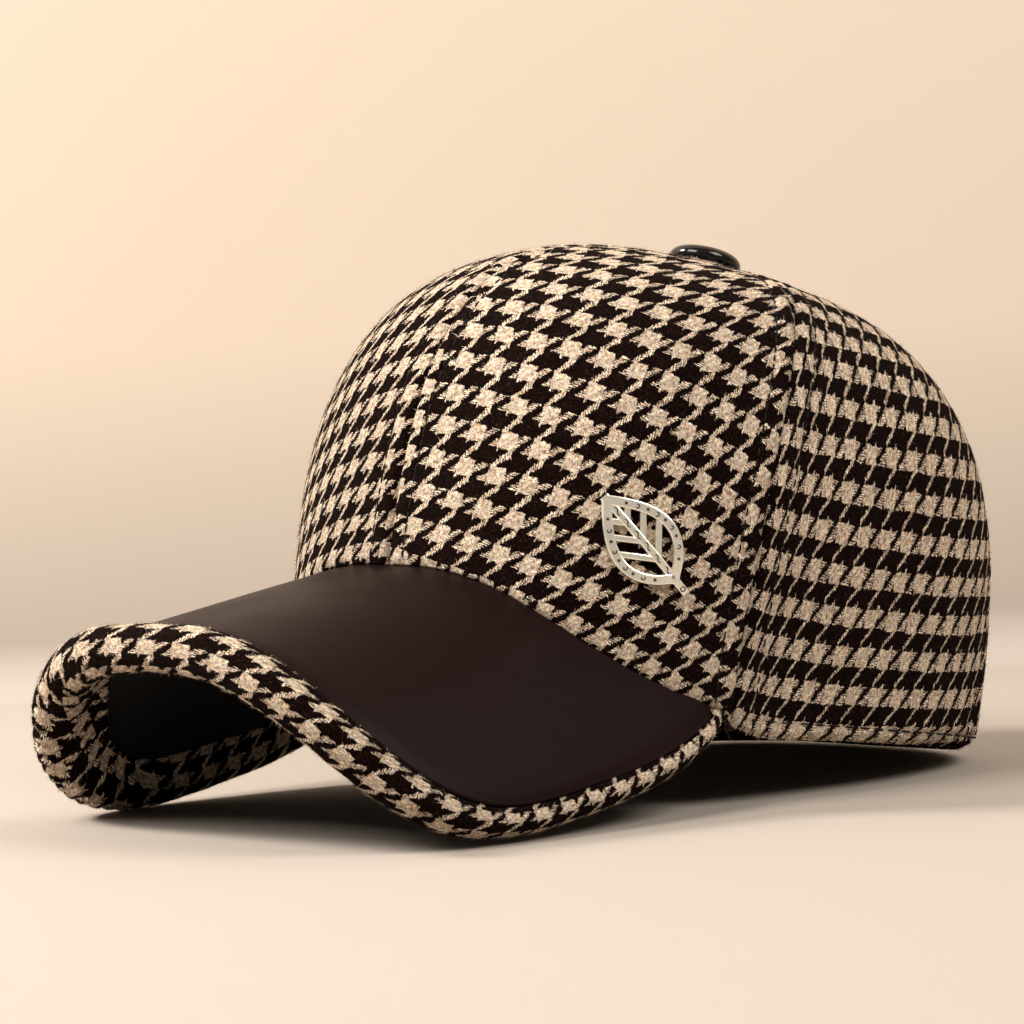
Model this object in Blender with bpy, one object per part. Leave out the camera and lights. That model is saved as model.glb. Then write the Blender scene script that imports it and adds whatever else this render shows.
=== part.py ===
"""A six-panel cap in woven wool, with a curved leather visor, a padded cloth rim and a small leaf pin.

The cap lies as it would by itself: on the two low points of the visor's rim and on the back of its hem.
Front is -Y, the wearer's left is +X and the floor is z = 0.  Units are metres.

The crown is one surface, cut into panels along six seams that meet under the top button.  A place on it is
given by an angle round the cap (0 at the front, 180 at the back) and a height fraction (0 at the hem, 1 at
the top).  The visor is a sheet that is arched across and straight from front to back.
"""

import math

import bmesh
import bpy
import numpy as np
from mathutils import Vector
from mathutils.bvhtree import BVHTree

MM = 0.001
GAP = 0.3 * MM                   # clearance between pieces that touch
CENTRE_SHIFT = 41.94 * MM         # moves the cap so that the middle of its box is over the origin

# Crown
HALF_WIDTH = 77.8 * MM           # at the hem, to the side
FRONT_LENGTH = 104.4 * MM        # from the middle of the hem forward
BACK_LENGTH = 95.9 * MM          # and backward, to the point that rests on the floor
HEIGHT = 130.9 * MM              # from the hem's plane to the top
PLAN_POWER = 2.49                # 2 would be an ellipse in plan, more is squarer
FRONT_RISE = 0.15                # how much the top climbs towards the front
TOP_SETBACK = 11.9 * MM          # the panels meet this far behind the middle of the hem
TOP_FALL = 1.33 * MM             # the top flattens under the button
TOP_FALL_POWER = 8
TOP_LIFT = 3.9 * MM              # and is drawn up to a small mound there
TOP_LIFT_POWER = 490
REACH_POWER = 0.39
TILT = math.radians(8.3)         # the hem's front is lifted by this much
BULGE_POWER = 1.19
REAR_FULLNESS = 0.101            # extra swell of the cloth behind each side seam, as a share
REAR_FULL_ANGLE = 99.1
REAR_FULL_SPREAD = 25.5
REAR_FULL_HEIGHT = 0.903
REAR_FULL_RISE = 0.465
WALL = 2.0 * MM
# each row: how round the shoulder is (less is squarer), and how far the crown swells under it
PROFILE_COLUMNS = ("shoulder", "swell")
PROFILES = {
    "front": (0.52, -0.038),
    "side": (0.57, 0.096),
    "back": (0.97, -0.034),
}

# Seams: the angle at the hem, and how much it grows on the way to the top
SIDE_SEAM = (71.0, 16.0)
REAR_SEAM = (127.0, 7.0)
TOP_HOLE = 3.2 * MM              # radius left open where the panels meet, for the button's post
VISOR_END = 68.0                 # the visor reaches round to this angle
HEM_LIFT_END = 82.0              # and the hem has come down to its plane by this one

# Visor
VISOR_TOP_HEIGHT = 65.3 * MM     # of the arch, 100 mm in front of the crown's middle
VISOR_DROP = 57.2 * MM           # from the arch's top to its widest point
VISOR_HALF_WIDTH = 78.7 * MM
ARCH_POWER = 2.82
VISOR_SLOPE = 0.151              # the sheet falls by this much per unit forward
VISOR_REACH = 74.9 * MM          # from the widest point to the front
VISOR_WIDEST = -99.7 * MM        # the widest point, in front of the crown's middle
VISOR_TAIL = 100.6 * MM          # how slowly the sides draw in behind it
OUTLINE_POWER = 3.1
SLOPE_STATION = -100.0 * MM
SHEET = 1.6 * MM                 # thickness of the leather and of the underside
TUCK = 2.2 * MM                  # how far the sheets reach in past the crown's inner face
EDGE_GAP = 0.7 * MM              # between the sheets' outer edge and the rim roll

# Rim roll
RIM_FRONT_RADIUS = 6.5 * MM
RIM_END_RADIUS = 2.5 * MM
RIM_SINK = 3.2 * MM              # its middle hangs this far under the leather's face
RIM_TAPER_ANGLE = 125.0
RIM_END_INSET = 1.6 * MM

# Button
BUTTON_RADIUS = 9.6 * MM
BUTTON_HEIGHT = 4.2 * MM         # of the dome, above the button's underside
BUTTON_EDGE = 1.5 * MM
POST_RADIUS = 2.2 * MM
POST_DEPTH = 3.4 * MM

# Leaf pin
PIN_ANGLE = 51.5
PIN_HEIGHT = 0.343
PIN_TURN = math.radians(-38.0)
PIN_LENGTH = 31.0 * MM
PIN_WIDTH = 19.0 * MM
PIN_BAND = 2.6 * MM
PIN_MIDRIB = 2.2 * MM
PIN_VEIN = 1.7 * MM
PIN_THICKNESS = 1.4 * MM
PIN_GAP = 0.4 * MM
PIN_VEIN_STATIONS = (0.26, 0.46, 0.66)
PIN_VEIN_SLANT = math.radians(42.0)

# Mesh fineness
PANEL_COLUMNS = 12
PANEL_ROWS = 14
SHEET_COLUMNS = 36
SHEET_ROWS = 7
RIM_STATIONS = 72
RIM_SIDES = 14
BUTTON_SIDES = 28


# ---------------------------------------------------------------- crown surface
def signed_power(value, power):
    return math.copysign(abs(value) ** power, value)


def profile(angle):
    """Shoulder and swell at an angle, blended between the front, side and back rows."""
    front = max(math.cos(angle), 0.0) ** 2
    back = max(-math.cos(angle), 0.0) ** 2
    side = math.sin(angle) ** 2
    rows = zip(PROFILES["front"], PROFILES["side"], PROFILES["back"])
    return [f * front + s * side + b * back for f, s, b in rows]


def crown_point(angle, height):
    """The crown's outer face, as the cap lies on the floor."""
    shoulder, swell = profile(angle)
    height = min(max(height, 0.0), 1.0)
    reach = max(1.0 - height ** (2.0 / shoulder), 0.0) ** REACH_POWER
    rear = ((math.degrees(abs(angle)) - REAR_FULL_ANGLE) / REAR_FULL_SPREAD) ** 2
    rear += ((height - REAR_FULL_HEIGHT) / REAR_FULL_RISE) ** 2
    reach *= 1.0 + swell * math.sin(math.pi * height ** BULGE_POWER) + REAR_FULLNESS * math.exp(-rear)
    length = FRONT_LENGTH if math.cos(angle) > 0.0 else BACK_LENGTH
    x = HALF_WIDTH * reach * signed_power(math.sin(angle), 2.0 / PLAN_POWER)
    y = -length * reach * signed_power(math.cos(angle), 2.0 / PLAN_POWER) + TOP_SETBACK * height ** 4
    z = (HEIGHT - TOP_FALL * height ** TOP_FALL_POWER - FRONT_RISE * y) * height
    z += TOP_LIFT * height ** TOP_LIFT_POWER
    back, along = y - BACK_LENGTH, math.cos(TILT)
    return Vector((x, BACK_LENGTH + back * along + z * math.sin(TILT), -back * math.sin(TILT) + z * along))


def crown_normal(angle, height):
    step = 1e-3
    low, high = max(height - step, 0.0), min(height + step, 0.99995)
    across = crown_point(angle + step, height) - crown_point(angle - step, height)
    up = crown_point(angle, high) - crown_point(angle, low)
    return across.cross(up).normalized()


def seam_angle(seam, height):
    """A seam leans back as it climbs; seam is (angle at the hem, growth)."""
    climb = math.asin(min(height, 1.0) ** (1.0 / PROFILES["side"][0])) / (math.pi / 2.0)
    return math.radians(seam[0] + seam[1] * climb)


# ---------------------------------------------------------------- visor surface
def visor_height(x, y):
    arch = VISOR_DROP * (abs(x) / VISOR_HALF_WIDTH) ** ARCH_POWER
    return VISOR_TOP_HEIGHT - arch + VISOR_SLOPE * (y - SLOPE_STATION)


def visor_normal(x):
    steep = VISOR_DROP * ARCH_POWER / VISOR_HALF_WIDTH * (abs(x) / VISOR_HALF_WIDTH) ** (ARCH_POWER - 1.0)
    return Vector((math.copysign(steep, x), -VISOR_SLOPE, 1.0)).normalized()


def visor_outline(turn):
    """The middle of the rim roll, seen from above; turn is 0 at the front."""
    length = VISOR_REACH if math.cos(turn) > 0.0 else VISOR_TAIL
    x = VISOR_HALF_WIDTH * signed_power(math.sin(turn), 2.0 / OUTLINE_POWER)
    y = VISOR_WIDEST - length * signed_power(math.cos(turn), 2.0 / OUTLINE_POWER)
    return x, y


def rim_radius(turn):
    share = math.cos(min(abs(math.degrees(turn)) / RIM_TAPER_ANGLE, 1.0) * math.pi / 2.0)
    return RIM_END_RADIUS + (RIM_FRONT_RADIUS - RIM_END_RADIUS) * share


def bisect(test, low, high):
    for _ in range(40):
        middle = (low + high) / 2.0
        if test(middle):
            low = middle
        else:
            high = middle
    return (low + high) / 2.0


def junction_height(angle_at, depth):
    """Height fraction where the crown, depth inside its outer face, clears the visor's sheet by the gap."""
    def below(height):
        angle = angle_at(height)
        point = crown_point(angle, height) - crown_normal(angle, height) * depth
        lift = (point.z - visor_height(point.x, point.y)) * visor_normal(point.x).z
        return lift < GAP
    return bisect(below, 0.0, 0.7)


CORNER_HEIGHT = junction_height(lambda height: math.radians(VISOR_END), 0.0)
CORNER = crown_point(math.radians(VISOR_END), CORNER_HEIGHT)


def bottom_height(angle_at, depth):
    """The panels' lower edge: on the visor at the front, then down to the hem's plane."""
    angle = math.degrees(angle_at(0.0))
    if angle <= VISOR_END + 1e-6:
        return junction_height(angle_at, depth)
    along = min((angle - VISOR_END) / (HEM_LIFT_END - VISOR_END), 1.0)
    return CORNER_HEIGHT * (1.0 - along) ** 2 * (1.0 + 2.0 * along)


def top_height(angle):
    """Height fraction where the panels stop, a little way from the point where they would meet."""
    centre = crown_point(0.0, 1.0)
    return bisect(lambda height: (crown_point(angle, height) - centre).length > TOP_HOLE, 0.9, 1.0)


# ---------------------------------------------------------------- meshes
def material(name, color, roughness, metallic=0.0):
    made = bpy.data.materials.new(name)
    made.use_nodes = True
    shader = made.node_tree.nodes["Principled BSDF"]
    shader.inputs["Base Color"].default_value = (*color, 1.0)
    shader.inputs["Roughness"].default_value = roughness
    shader.inputs["Metallic"].default_value = metallic
    made.diffuse_color = (*color, 1.0)
    return made


def add_object(name, mesh_data, surface, parent):
    mesh_data.normal_update()
    bmesh.ops.recalc_face_normals(mesh_data, faces=mesh_data.faces)
    mesh = bpy.data.meshes.new(name)
    mesh_data.to_mesh(mesh)
    mesh_data.free()
    mesh.shade_smooth()
    mesh.set_sharp_from_angle(angle=math.radians(40.0))
    mesh.materials.append(surface)
    made = bpy.data.objects.new(name, mesh)
    made.parent = parent
    bpy.context.collection.objects.link(made)
    return made


def sheet_body(outer, inner):
    """A closed body between two grids of points of the same size."""
    body = bmesh.new()
    grids = [[[body.verts.new(point) for point in row] for row in grid] for grid in (outer, inner)]
    front, rear = grids
    rows, columns = len(outer), len(outer[0])
    for i in range(rows - 1):
        for j in range(columns - 1):
            body.faces.new((front[i][j], front[i + 1][j], front[i + 1][j + 1], front[i][j + 1]))
            body.faces.new((rear[i][j], rear[i][j + 1], rear[i + 1][j + 1], rear[i + 1][j]))
    for i in range(rows - 1):
        body.faces.new((front[i][0], rear[i][0], rear[i + 1][0], front[i + 1][0]))
        body.faces.new((front[i][-1], front[i + 1][-1], rear[i + 1][-1], rear[i][-1]))
    for j in range(columns - 1):
        body.faces.new((front[0][j], front[0][j + 1], rear[0][j + 1], rear[0][j]))
        body.faces.new((front[-1][j], rear[-1][j], rear[-1][j + 1], front[-1][j + 1]))
    return body


def column_shares(seam_a, seam_b):
    """Even columns, but for one of the front panels' that stands exactly where the visor ends."""
    if seam_b is not SIDE_SEAM:
        return [column / PANEL_COLUMNS for column in range(PANEL_COLUMNS + 1)]
    visor_end = (VISOR_END - seam_a[0]) / (seam_b[0] - seam_a[0])
    return [visor_end * column / (PANEL_COLUMNS - 1) for column in range(PANEL_COLUMNS)] + [1.0]


def panel_grids(seam_a, seam_b, side):
    """Outer and inner points of one crown panel, from seam_a to seam_b on one side of the cap (+1 left)."""
    outer, inner = [], []
    for column, share in enumerate(column_shares(seam_a, seam_b)):
        def angle_at(height, share=share):
            start, end = seam_angle(seam_a, height), seam_angle(seam_b, height)
            return start + (end - start) * share
        inset = {0: GAP / 2.0, PANEL_COLUMNS: -GAP / 2.0}.get(column, 0.0)
        for grid, depth in ((outer, 0.0), (inner, WALL)):
            low = bottom_height(angle_at, depth)
            high = top_height(angle_at(1.0))
            low, high = (math.asin(value) / (math.pi / 2.0) for value in (low, high))
            points = []
            for row in range(PANEL_ROWS + 1):
                climb = 1.0 - (1.0 - row / PANEL_ROWS) ** 1.2
                height = math.sin(math.pi / 2.0 * (low + (high - low) * climb))
                angle = angle_at(height)
                along = (crown_point(angle + 1e-3, height) - crown_point(angle - 1e-3, height)).normalized()
                point = crown_point(angle, height) - crown_normal(angle, height) * depth + along * inset
                points.append(Vector((point.x * side, point.y, point.z)))
            grid.append(points)
    return outer, inner


def add_panels(cloth, parent):
    front, back = (0.0, 0.0), (180.0, 0.0)
    spans = {"front": (front, SIDE_SEAM), "side": (SIDE_SEAM, REAR_SEAM), "back": (REAR_SEAM, back)}
    panels = {}
    for place, (seam_a, seam_b) in spans.items():
        for side_name, side in (("left", 1), ("right", -1)):
            name = f"{place}_{side_name}_panel"
            panels[name] = add_object(name, sheet_body(*panel_grids(seam_a, seam_b, side)), cloth, parent)
    return panels


def rim_end_turn():
    """Where the roll stops, just in front of the corner between visor and hem."""
    return bisect(lambda turn: visor_outline(turn)[1] < CORNER.y - RIM_END_INSET, math.pi / 2.0, math.pi)


def rim_frame(turn):
    """The roll's middle, the direction across it in the sheet, and the sheet's normal."""
    step = 1e-3
    (x, y), (x0, y0), (x1, y1) = (visor_outline(value) for value in (turn, turn - step, turn + step))
    along = Vector((x1 - x0, y1 - y0, visor_height(x1, y1) - visor_height(x0, y0))).normalized()
    normal = visor_normal(x)
    across = normal.cross(along).normalized()
    sink = min(RIM_SINK, rim_radius(turn))
    return Vector((x, y, visor_height(x, y))) - normal * sink, across, normal


def visor_grids(top_depth):
    """Both faces of a visor sheet whose upper face lies top_depth under the leather's face."""
    last = rim_end_turn()
    faces = ([], [])
    for column in range(SHEET_COLUMNS + 1):
        share = 2.0 * column / SHEET_COLUMNS - 1.0
        turn, angle = share * last, math.radians(share * (VISOR_END - 1.0))
        height = junction_height(lambda value, angle=angle: angle, WALL)
        inner = crown_point(angle, height) - crown_normal(angle, height) * (WALL + TUCK)
        middle, across, normal = rim_frame(turn)
        radius = rim_radius(turn)
        drop = min(RIM_SINK, radius) - top_depth - SHEET / 2.0
        reach = math.sqrt(max(radius ** 2 - drop ** 2, 0.0)) + EDGE_GAP
        x, y = visor_outline(turn)
        outer = Vector((x, y, 0.0)) + Vector((across.x, across.y, 0.0)) * reach
        rows = ([], [])
        for row in range(SHEET_ROWS + 1):
            part = row / SHEET_ROWS
            x = inner.x + (outer.x - inner.x) * part
            y = inner.y + (outer.y - inner.y) * part
            surface = Vector((x, y, visor_height(x, y)))
            for points, depth in zip(rows, (top_depth, top_depth + SHEET)):
                points.append(surface - visor_normal(x) * depth)
        for face, points in zip(faces, rows):
            face.append(points)
    return faces


def add_visor(leather, lining, cloth, parent):
    add_object("visor_top", sheet_body(*visor_grids(0.0)), leather, parent)
    add_object("visor_underside", sheet_body(*visor_grids(SHEET + GAP)), lining, parent)
    add_object("visor_rim", rim_body(), cloth, parent)


def rim_body():
    body = bmesh.new()
    last = rim_end_turn()
    rings = []
    for station in range(RIM_STATIONS + 1):
        share = 2.0 * station / RIM_STATIONS - 1.0
        turn = last * share
        middle, across, normal = rim_frame(turn)
        radius = rim_radius(turn)
        ring = []
        for side in range(RIM_SIDES):
            around = 2.0 * math.pi * side / RIM_SIDES
            ring.append(body.verts.new(middle + (across * math.cos(around) + normal * math.sin(around)) * radius))
        rings.append(ring)
    for ring, following in zip(rings, rings[1:]):
        for side in range(RIM_SIDES):
            after = (side + 1) % RIM_SIDES
            body.faces.new((ring[side], ring[after], following[after], following[side]))
    for ring in (rings[0], rings[-1]):
        body.faces.new(ring)
    return body


def top_surface(radius):
    """Points of the crown at about this distance from its top."""
    centre = crown_point(0.0, 1.0)
    ring = []
    for degrees in range(0, 360, 15):
        angle = math.radians(degrees)
        height = bisect(lambda value, angle=angle: (crown_point(angle, value) - centre).length > radius, 0.5, 1.0)
        ring.append(crown_point(angle, height))
    return ring


def add_button(gloss, parent):
    """A domed button that sits on the panels, with the post that holds it in the hole where they meet."""
    top = crown_point(0.0, 1.0)
    ring = top_surface(BUTTON_RADIUS)
    quarter = len(ring) // 4
    normal = (ring[2 * quarter] - ring[0]).cross(ring[quarter] - ring[3 * quarter]).normalized()
    normal *= math.copysign(1.0, normal.z)

    def clear(radius):
        return max((point - top).dot(normal) for point in top_surface(radius)) + GAP

    rest = clear(BUTTON_RADIUS)
    steps = 8
    outline = [(0.0, -POST_DEPTH), (POST_RADIUS, -POST_DEPTH), (POST_RADIUS, GAP)]
    outline += [(share * BUTTON_RADIUS, clear(share * BUTTON_RADIUS)) for share in (0.4, 0.6, 0.8)]
    outline += [(BUTTON_RADIUS - 0.6 * MM, rest), (BUTTON_RADIUS, rest + 0.5 * MM)]
    for step in range(steps):
        turn = math.pi / 2.0 * step / steps
        outline.append((BUTTON_RADIUS * math.cos(turn) ** 0.72,
                        rest + BUTTON_EDGE + (BUTTON_HEIGHT - BUTTON_EDGE) * math.sin(turn)))
    outline.append((0.0, rest + BUTTON_HEIGHT))
    body = bmesh.new()
    verts = [body.verts.new((radius, 0.0, height)) for radius, height in outline]
    edges = [body.edges.new(pair) for pair in zip(verts, verts[1:])]
    bmesh.ops.spin(body, geom=verts + edges, cent=(0, 0, 0), axis=(0, 0, 1), angle=2.0 * math.pi,
                   steps=BUTTON_SIDES, use_merge=True, use_duplicate=False)
    bmesh.ops.remove_doubles(body, verts=body.verts, dist=1e-6)
    made = add_object("top_button", body, gloss, parent)
    made.location = top
    made.rotation_mode = "QUATERNION"
    made.rotation_quaternion = Vector((0, 0, 1)).rotation_difference(normal)
    return made


# ---------------------------------------------------------------- leaf pin
def leaf_edge(share):
    """Half the leaf's width at a share of its length."""
    return PIN_WIDTH / 2.0 * math.sin(math.pi * share ** 0.8) ** 0.9


def strip(points, width, thickness, lift):
    """A flat bar of one width along a line of points in the plane, as a closed body."""
    body = bmesh.new()
    rings = []
    for index, (x, y) in enumerate(points):
        before, after = points[max(index - 1, 0)], points[min(index + 1, len(points) - 1)]
        along = Vector((after[0] - before[0], after[1] - before[1], 0.0)).normalized()
        across = Vector((-along.y, along.x, 0.0)) * width / 2.0
        centre = Vector((x, y, lift))
        up = Vector((0.0, 0.0, thickness))
        rings.append([body.verts.new(place) for place in
                      (centre - across, centre + across, centre + across + up, centre - across + up)])
    for ring, following in zip(rings, rings[1:]):
        for side in range(4):
            after = (side + 1) % 4
            body.faces.new((ring[side], ring[after], following[after], following[side]))
    body.faces.new(rings[0])
    body.faces.new(rings[-1])
    return body


def leaf_bars():
    """Edge band, midrib and veins of the leaf, each slightly thinner than the one before."""
    steps = 14
    half = PIN_LENGTH / 2.0
    inset = PIN_BAND / 2.0
    for side in (1, -1):
        edge = []
        for step in range(steps + 1):
            share = step / steps
            edge.append((share * (PIN_LENGTH - 2 * inset) - half + inset, side * max(leaf_edge(share) - inset, 0.0)))
        yield edge, PIN_BAND, PIN_THICKNESS, 0.0
    rib = [(-half - 3.5 * MM + step * (PIN_LENGTH + 1.0 * MM) / steps, 0.0) for step in range(steps + 1)]
    yield rib, PIN_MIDRIB, PIN_THICKNESS - 0.2 * MM, 0.05 * MM
    for number, station in enumerate(PIN_VEIN_STATIONS):
        for side in (1, -1):
            x = -half + station * PIN_LENGTH
            reach = 0.0
            slope = math.tan(PIN_VEIN_SLANT)
            while True:
                share = (x + reach + half) / PIN_LENGTH
                if share > 0.97 or reach * slope > leaf_edge(share) - inset:
                    break
                reach += 0.2 * MM
            vein = [(x + reach * part / 4.0, side * slope * reach * part / 4.0) for part in range(5)]
            yield vein, PIN_VEIN, PIN_THICKNESS - (0.3 + 0.02 * number) * MM, (0.08 + 0.02 * side) * MM


def flat_leaf(parent):
    bars = []
    for number, (points, width, thickness, lift) in enumerate(leaf_bars()):
        bars.append(add_object(f"bar_{number}", strip(points, width, thickness, lift), None, parent))
    whole = bars[0]
    for bar in bars[1:]:
        join = whole.modifiers.new("join", "BOOLEAN")
        join.operation = "UNION"
        join.object = bar
    bpy.context.view_layer.update()
    shape = bmesh.new()
    shape.from_object(whole, bpy.context.evaluated_depsgraph_get())
    for bar in bars:
        bpy.data.objects.remove(bar)
    return shape


def add_pin(panel, metal, parent):
    """The leaf, bent to the panel that it is pinned on."""
    shape = flat_leaf(parent)
    bmesh.ops.triangulate(shape, faces=shape.faces)
    carrier = bmesh.new()
    carrier.from_mesh(panel.data)
    tree = BVHTree.FromBMesh(carrier)
    carrier.free()
    angle = math.radians(PIN_ANGLE)
    middle, normal = crown_point(angle, PIN_HEIGHT), crown_normal(angle, PIN_HEIGHT)
    sideways = Vector((0, 0, 1)).cross(normal).normalized()
    upward = normal.cross(sideways)
    leafwise = upward * math.cos(PIN_TURN) + sideways * math.sin(PIN_TURN)
    across = normal.cross(leafwise)
    for vert in shape.verts:
        start = middle + leafwise * vert.co.x + across * vert.co.y + normal * 20.0 * MM
        found, found_normal, _, _ = tree.ray_cast(start, -normal)
        vert.co = found + normal * (PIN_GAP + vert.co.z)
    return add_object("leaf_pin", shape, metal, parent)


def main():
    for item in list(bpy.data.objects):
        bpy.data.objects.remove(item)
    cloth = material("wool_cloth", (0.20, 0.15, 0.11), 0.92)
    leather = material("visor_leather", (0.018, 0.010, 0.009), 0.42)
    lining = material("black_cloth", (0.006, 0.006, 0.006), 0.85)
    gloss = material("button_gloss", (0.008, 0.006, 0.006), 0.15)
    metal = material("pale_gold", (0.83, 0.66, 0.42), 0.28, 1.0)
    cap = bpy.data.objects.new("cap", None)
    cap.location = (0.0, CENTRE_SHIFT, 0.0)
    bpy.context.collection.objects.link(cap)
    panels = add_panels(cloth, cap)
    add_visor(leather, lining, cloth, cap)
    add_button(gloss, cap)
    add_pin(panels["front_left_panel"], metal, cap)


main()
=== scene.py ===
"""Looks for the houndstooth cap: woven crown panels, padded rim, leather visor, stitching, button and leaf pin.

The crown, visor and rim follow the same surfaces as the solids.  A place on the crown is an angle round the
cap and a height fraction, both numpy arrays here.  Units are metres, in the row's frame.
"""

import math

import bmesh
import bpy
import numpy as np
from mathutils import Matrix, Vector
from mathutils.bvhtree import BVHTree


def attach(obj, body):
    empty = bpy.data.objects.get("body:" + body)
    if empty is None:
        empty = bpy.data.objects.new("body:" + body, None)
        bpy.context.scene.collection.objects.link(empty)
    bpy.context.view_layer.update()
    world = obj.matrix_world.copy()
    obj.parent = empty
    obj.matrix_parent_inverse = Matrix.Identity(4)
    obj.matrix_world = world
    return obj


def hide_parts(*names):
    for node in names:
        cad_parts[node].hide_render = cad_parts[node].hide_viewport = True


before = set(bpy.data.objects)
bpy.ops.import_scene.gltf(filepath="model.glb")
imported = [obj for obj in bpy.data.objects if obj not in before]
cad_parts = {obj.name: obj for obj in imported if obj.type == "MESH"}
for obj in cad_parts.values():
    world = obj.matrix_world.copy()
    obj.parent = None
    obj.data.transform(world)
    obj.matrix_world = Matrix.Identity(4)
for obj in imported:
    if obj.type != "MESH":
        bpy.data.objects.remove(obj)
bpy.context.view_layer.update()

MM = 0.001
CENTRE_SHIFT = 41.94 * MM

# ---- the crown, as in the solids
HALF_WIDTH = 77.8 * MM
FRONT_LENGTH = 104.4 * MM
BACK_LENGTH = 95.9 * MM
HEIGHT = 130.9 * MM
PLAN_POWER = 2.49
FRONT_RISE = 0.15
TOP_SETBACK = 11.9 * MM
TOP_FALL = 1.33 * MM
TOP_FALL_POWER = 8
TOP_LIFT = 3.9 * MM
TOP_LIFT_POWER = 490
REACH_POWER = 0.39
TILT = math.radians(8.3)
BULGE_POWER = 1.19
REAR_FULLNESS = 0.101
REAR_FULL_ANGLE = 99.1
REAR_FULL_SPREAD = 25.5
REAR_FULL_HEIGHT = 0.903
REAR_FULL_RISE = 0.465
WALL = 2.0 * MM
SHOULDERS = {"front": 0.52, "side": 0.57, "back": 0.97}
SWELLS = {"front": -0.038, "side": 0.096, "back": -0.034}
FRONT_SEAM = (0.0, 0.0)
SIDE_SEAM = (71.0, 16.0)
REAR_SEAM = (127.0, 7.0)
BACK_SEAM = (180.0, 0.0)
TOP_HOLE = 3.2 * MM
VISOR_END = 68.0
HEM_LIFT_END = 73.5              # the dressed hem comes down sooner, over the rim's ends

# ---- the visor, as in the solids
VISOR_TOP_HEIGHT = 65.3 * MM
VISOR_DROP = 57.2 * MM
VISOR_HALF_WIDTH = 78.7 * MM
ARCH_POWER = 2.82
VISOR_SLOPE = 0.151
VISOR_REACH = 74.9 * MM
VISOR_WIDEST = -99.7 * MM
VISOR_TAIL = 100.6 * MM
OUTLINE_POWER = 3.1
SLOPE_STATION = -100.0 * MM
SHEET = 1.6 * MM
TUCK = 2.2 * MM
GAP = 0.3 * MM
RIM_FRONT_RADIUS = 6.5 * MM
RIM_END_RADIUS = 2.5 * MM
RIM_SINK = 3.2 * MM
RIM_TAPER_ANGLE = 125.0
RIM_END_INSET = 1.6 * MM

# ---- cloth.  One repeat of the pattern is 16 threads each way, 8 dark and 8 light.
THREADS = 16
FLOAT = 8                        # a twill: each thread goes over and under within 8 others
# where light threads show on dark ones, in threads along the diagonal: from and to where the band of the
# threads below begins, and from and to where it ends; for warp and for weft
FRONT_BANDS = ((5.9, 10.1, 8.2, 10.2), (3.0, 7.3, 3.0, 7.2))
SIDE_BANDS = ((5.25, 7.45, 5.85, 8.05), (-0.15, 4.9, 0.5, 6.2))
# where the repeats lie on each panel, as a bent grid: repeats across and up, from the distance u from the
# panel's front seam and the height v above the hem, both along the cloth; the factors of 1, u, v, uu, uv, vv
BEND_U = 50.0 * MM
BEND_V = 100.0 * MM
GRIDS = {
    "front_left": ((-11.07, 4.25, 1.69, 0.48, -0.06, 4.55), (3.36, 0.45, 10.89, 0.41, -0.60, 0.26)),
    "front_right": ((4.31, 6.55, -0.63, -0.73, -0.03, 1.34), (-1.51, -0.59, 10.17, 1.40, -0.80, -1.97)),
    "side": ((-4.06, 6.41, 3.65, 0.07, 1.08, 3.64), (-1.18, 0.41, 8.49, -0.16, 0.17, -0.61)),
    "back": ((-3.50, 5.40, 0.00, 0.00, 0.00, 0.00), (-1.30, 0.00, 9.20, 0.00, 0.00, 0.00)),
}
RIM_PITCH = 9.5 * MM             # a repeat along the rim's flanks
RIM_FRONT_PITCH = 13.0 * MM      # and where the cloth is stretched round the front
RIM_WRAP_PITCH = 7.4 * MM        # a repeat round the roll
RIM_START = 29.8 * MM
STRETCH_CENTRE = -20.0 * MM      # the middle, half length and soft ends of the stretched part
STRETCH_REACH = 62.0 * MM
STRETCH_EASE = 7.0 * MM
STRETCH_END = 30.0 * MM          # none of it lies further to the left than this
DRIFT = 2.4                      # in threads: how far the cloth wanders
HAIR = 3.5                       # and how hairy the threads' edges are

LIGHT_WOOL_LOW = (0.43, 0.252, 0.135, 1.0)
LIGHT_WOOL_HIGH = (1.0, 0.86, 0.69, 1.0)
DARK_WOOL = (0.0052, 0.0012, 0.0006, 1.0)
DARK_WOOL_FLECK = (0.105, 0.056, 0.042, 1.0)
LEATHER_LOW, LEATHER_HIGH = (0.0062, 0.0025, 0.0025, 1.0), (0.0105, 0.0044, 0.0040, 1.0)
BLACK_CLOTH_COLORS = (0.0028, 0.0026, 0.0026, 1.0), (0.0075, 0.0068, 0.0064, 1.0)
THREAD_COLORS = (0.006, 0.0045, 0.004, 1.0), (0.018, 0.012, 0.010, 1.0)
GLOSS_COLORS = (0.004, 0.0035, 0.0035, 1.0), (0.010, 0.008, 0.0075, 1.0)
GOLD_COLORS = (0.96, 0.87, 0.68, 1.0), (1.0, 0.96, 0.87, 1.0)
ENAMEL_COLORS = (0.006, 0.004, 0.003, 1.0), (0.016, 0.010, 0.007, 1.0)

STEP = 1e-3                      # of angle or height, for slopes


# ---------------------------------------------------------------- surfaces
def signed_power(value, power):
    return np.sign(value) * np.abs(value) ** power


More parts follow.
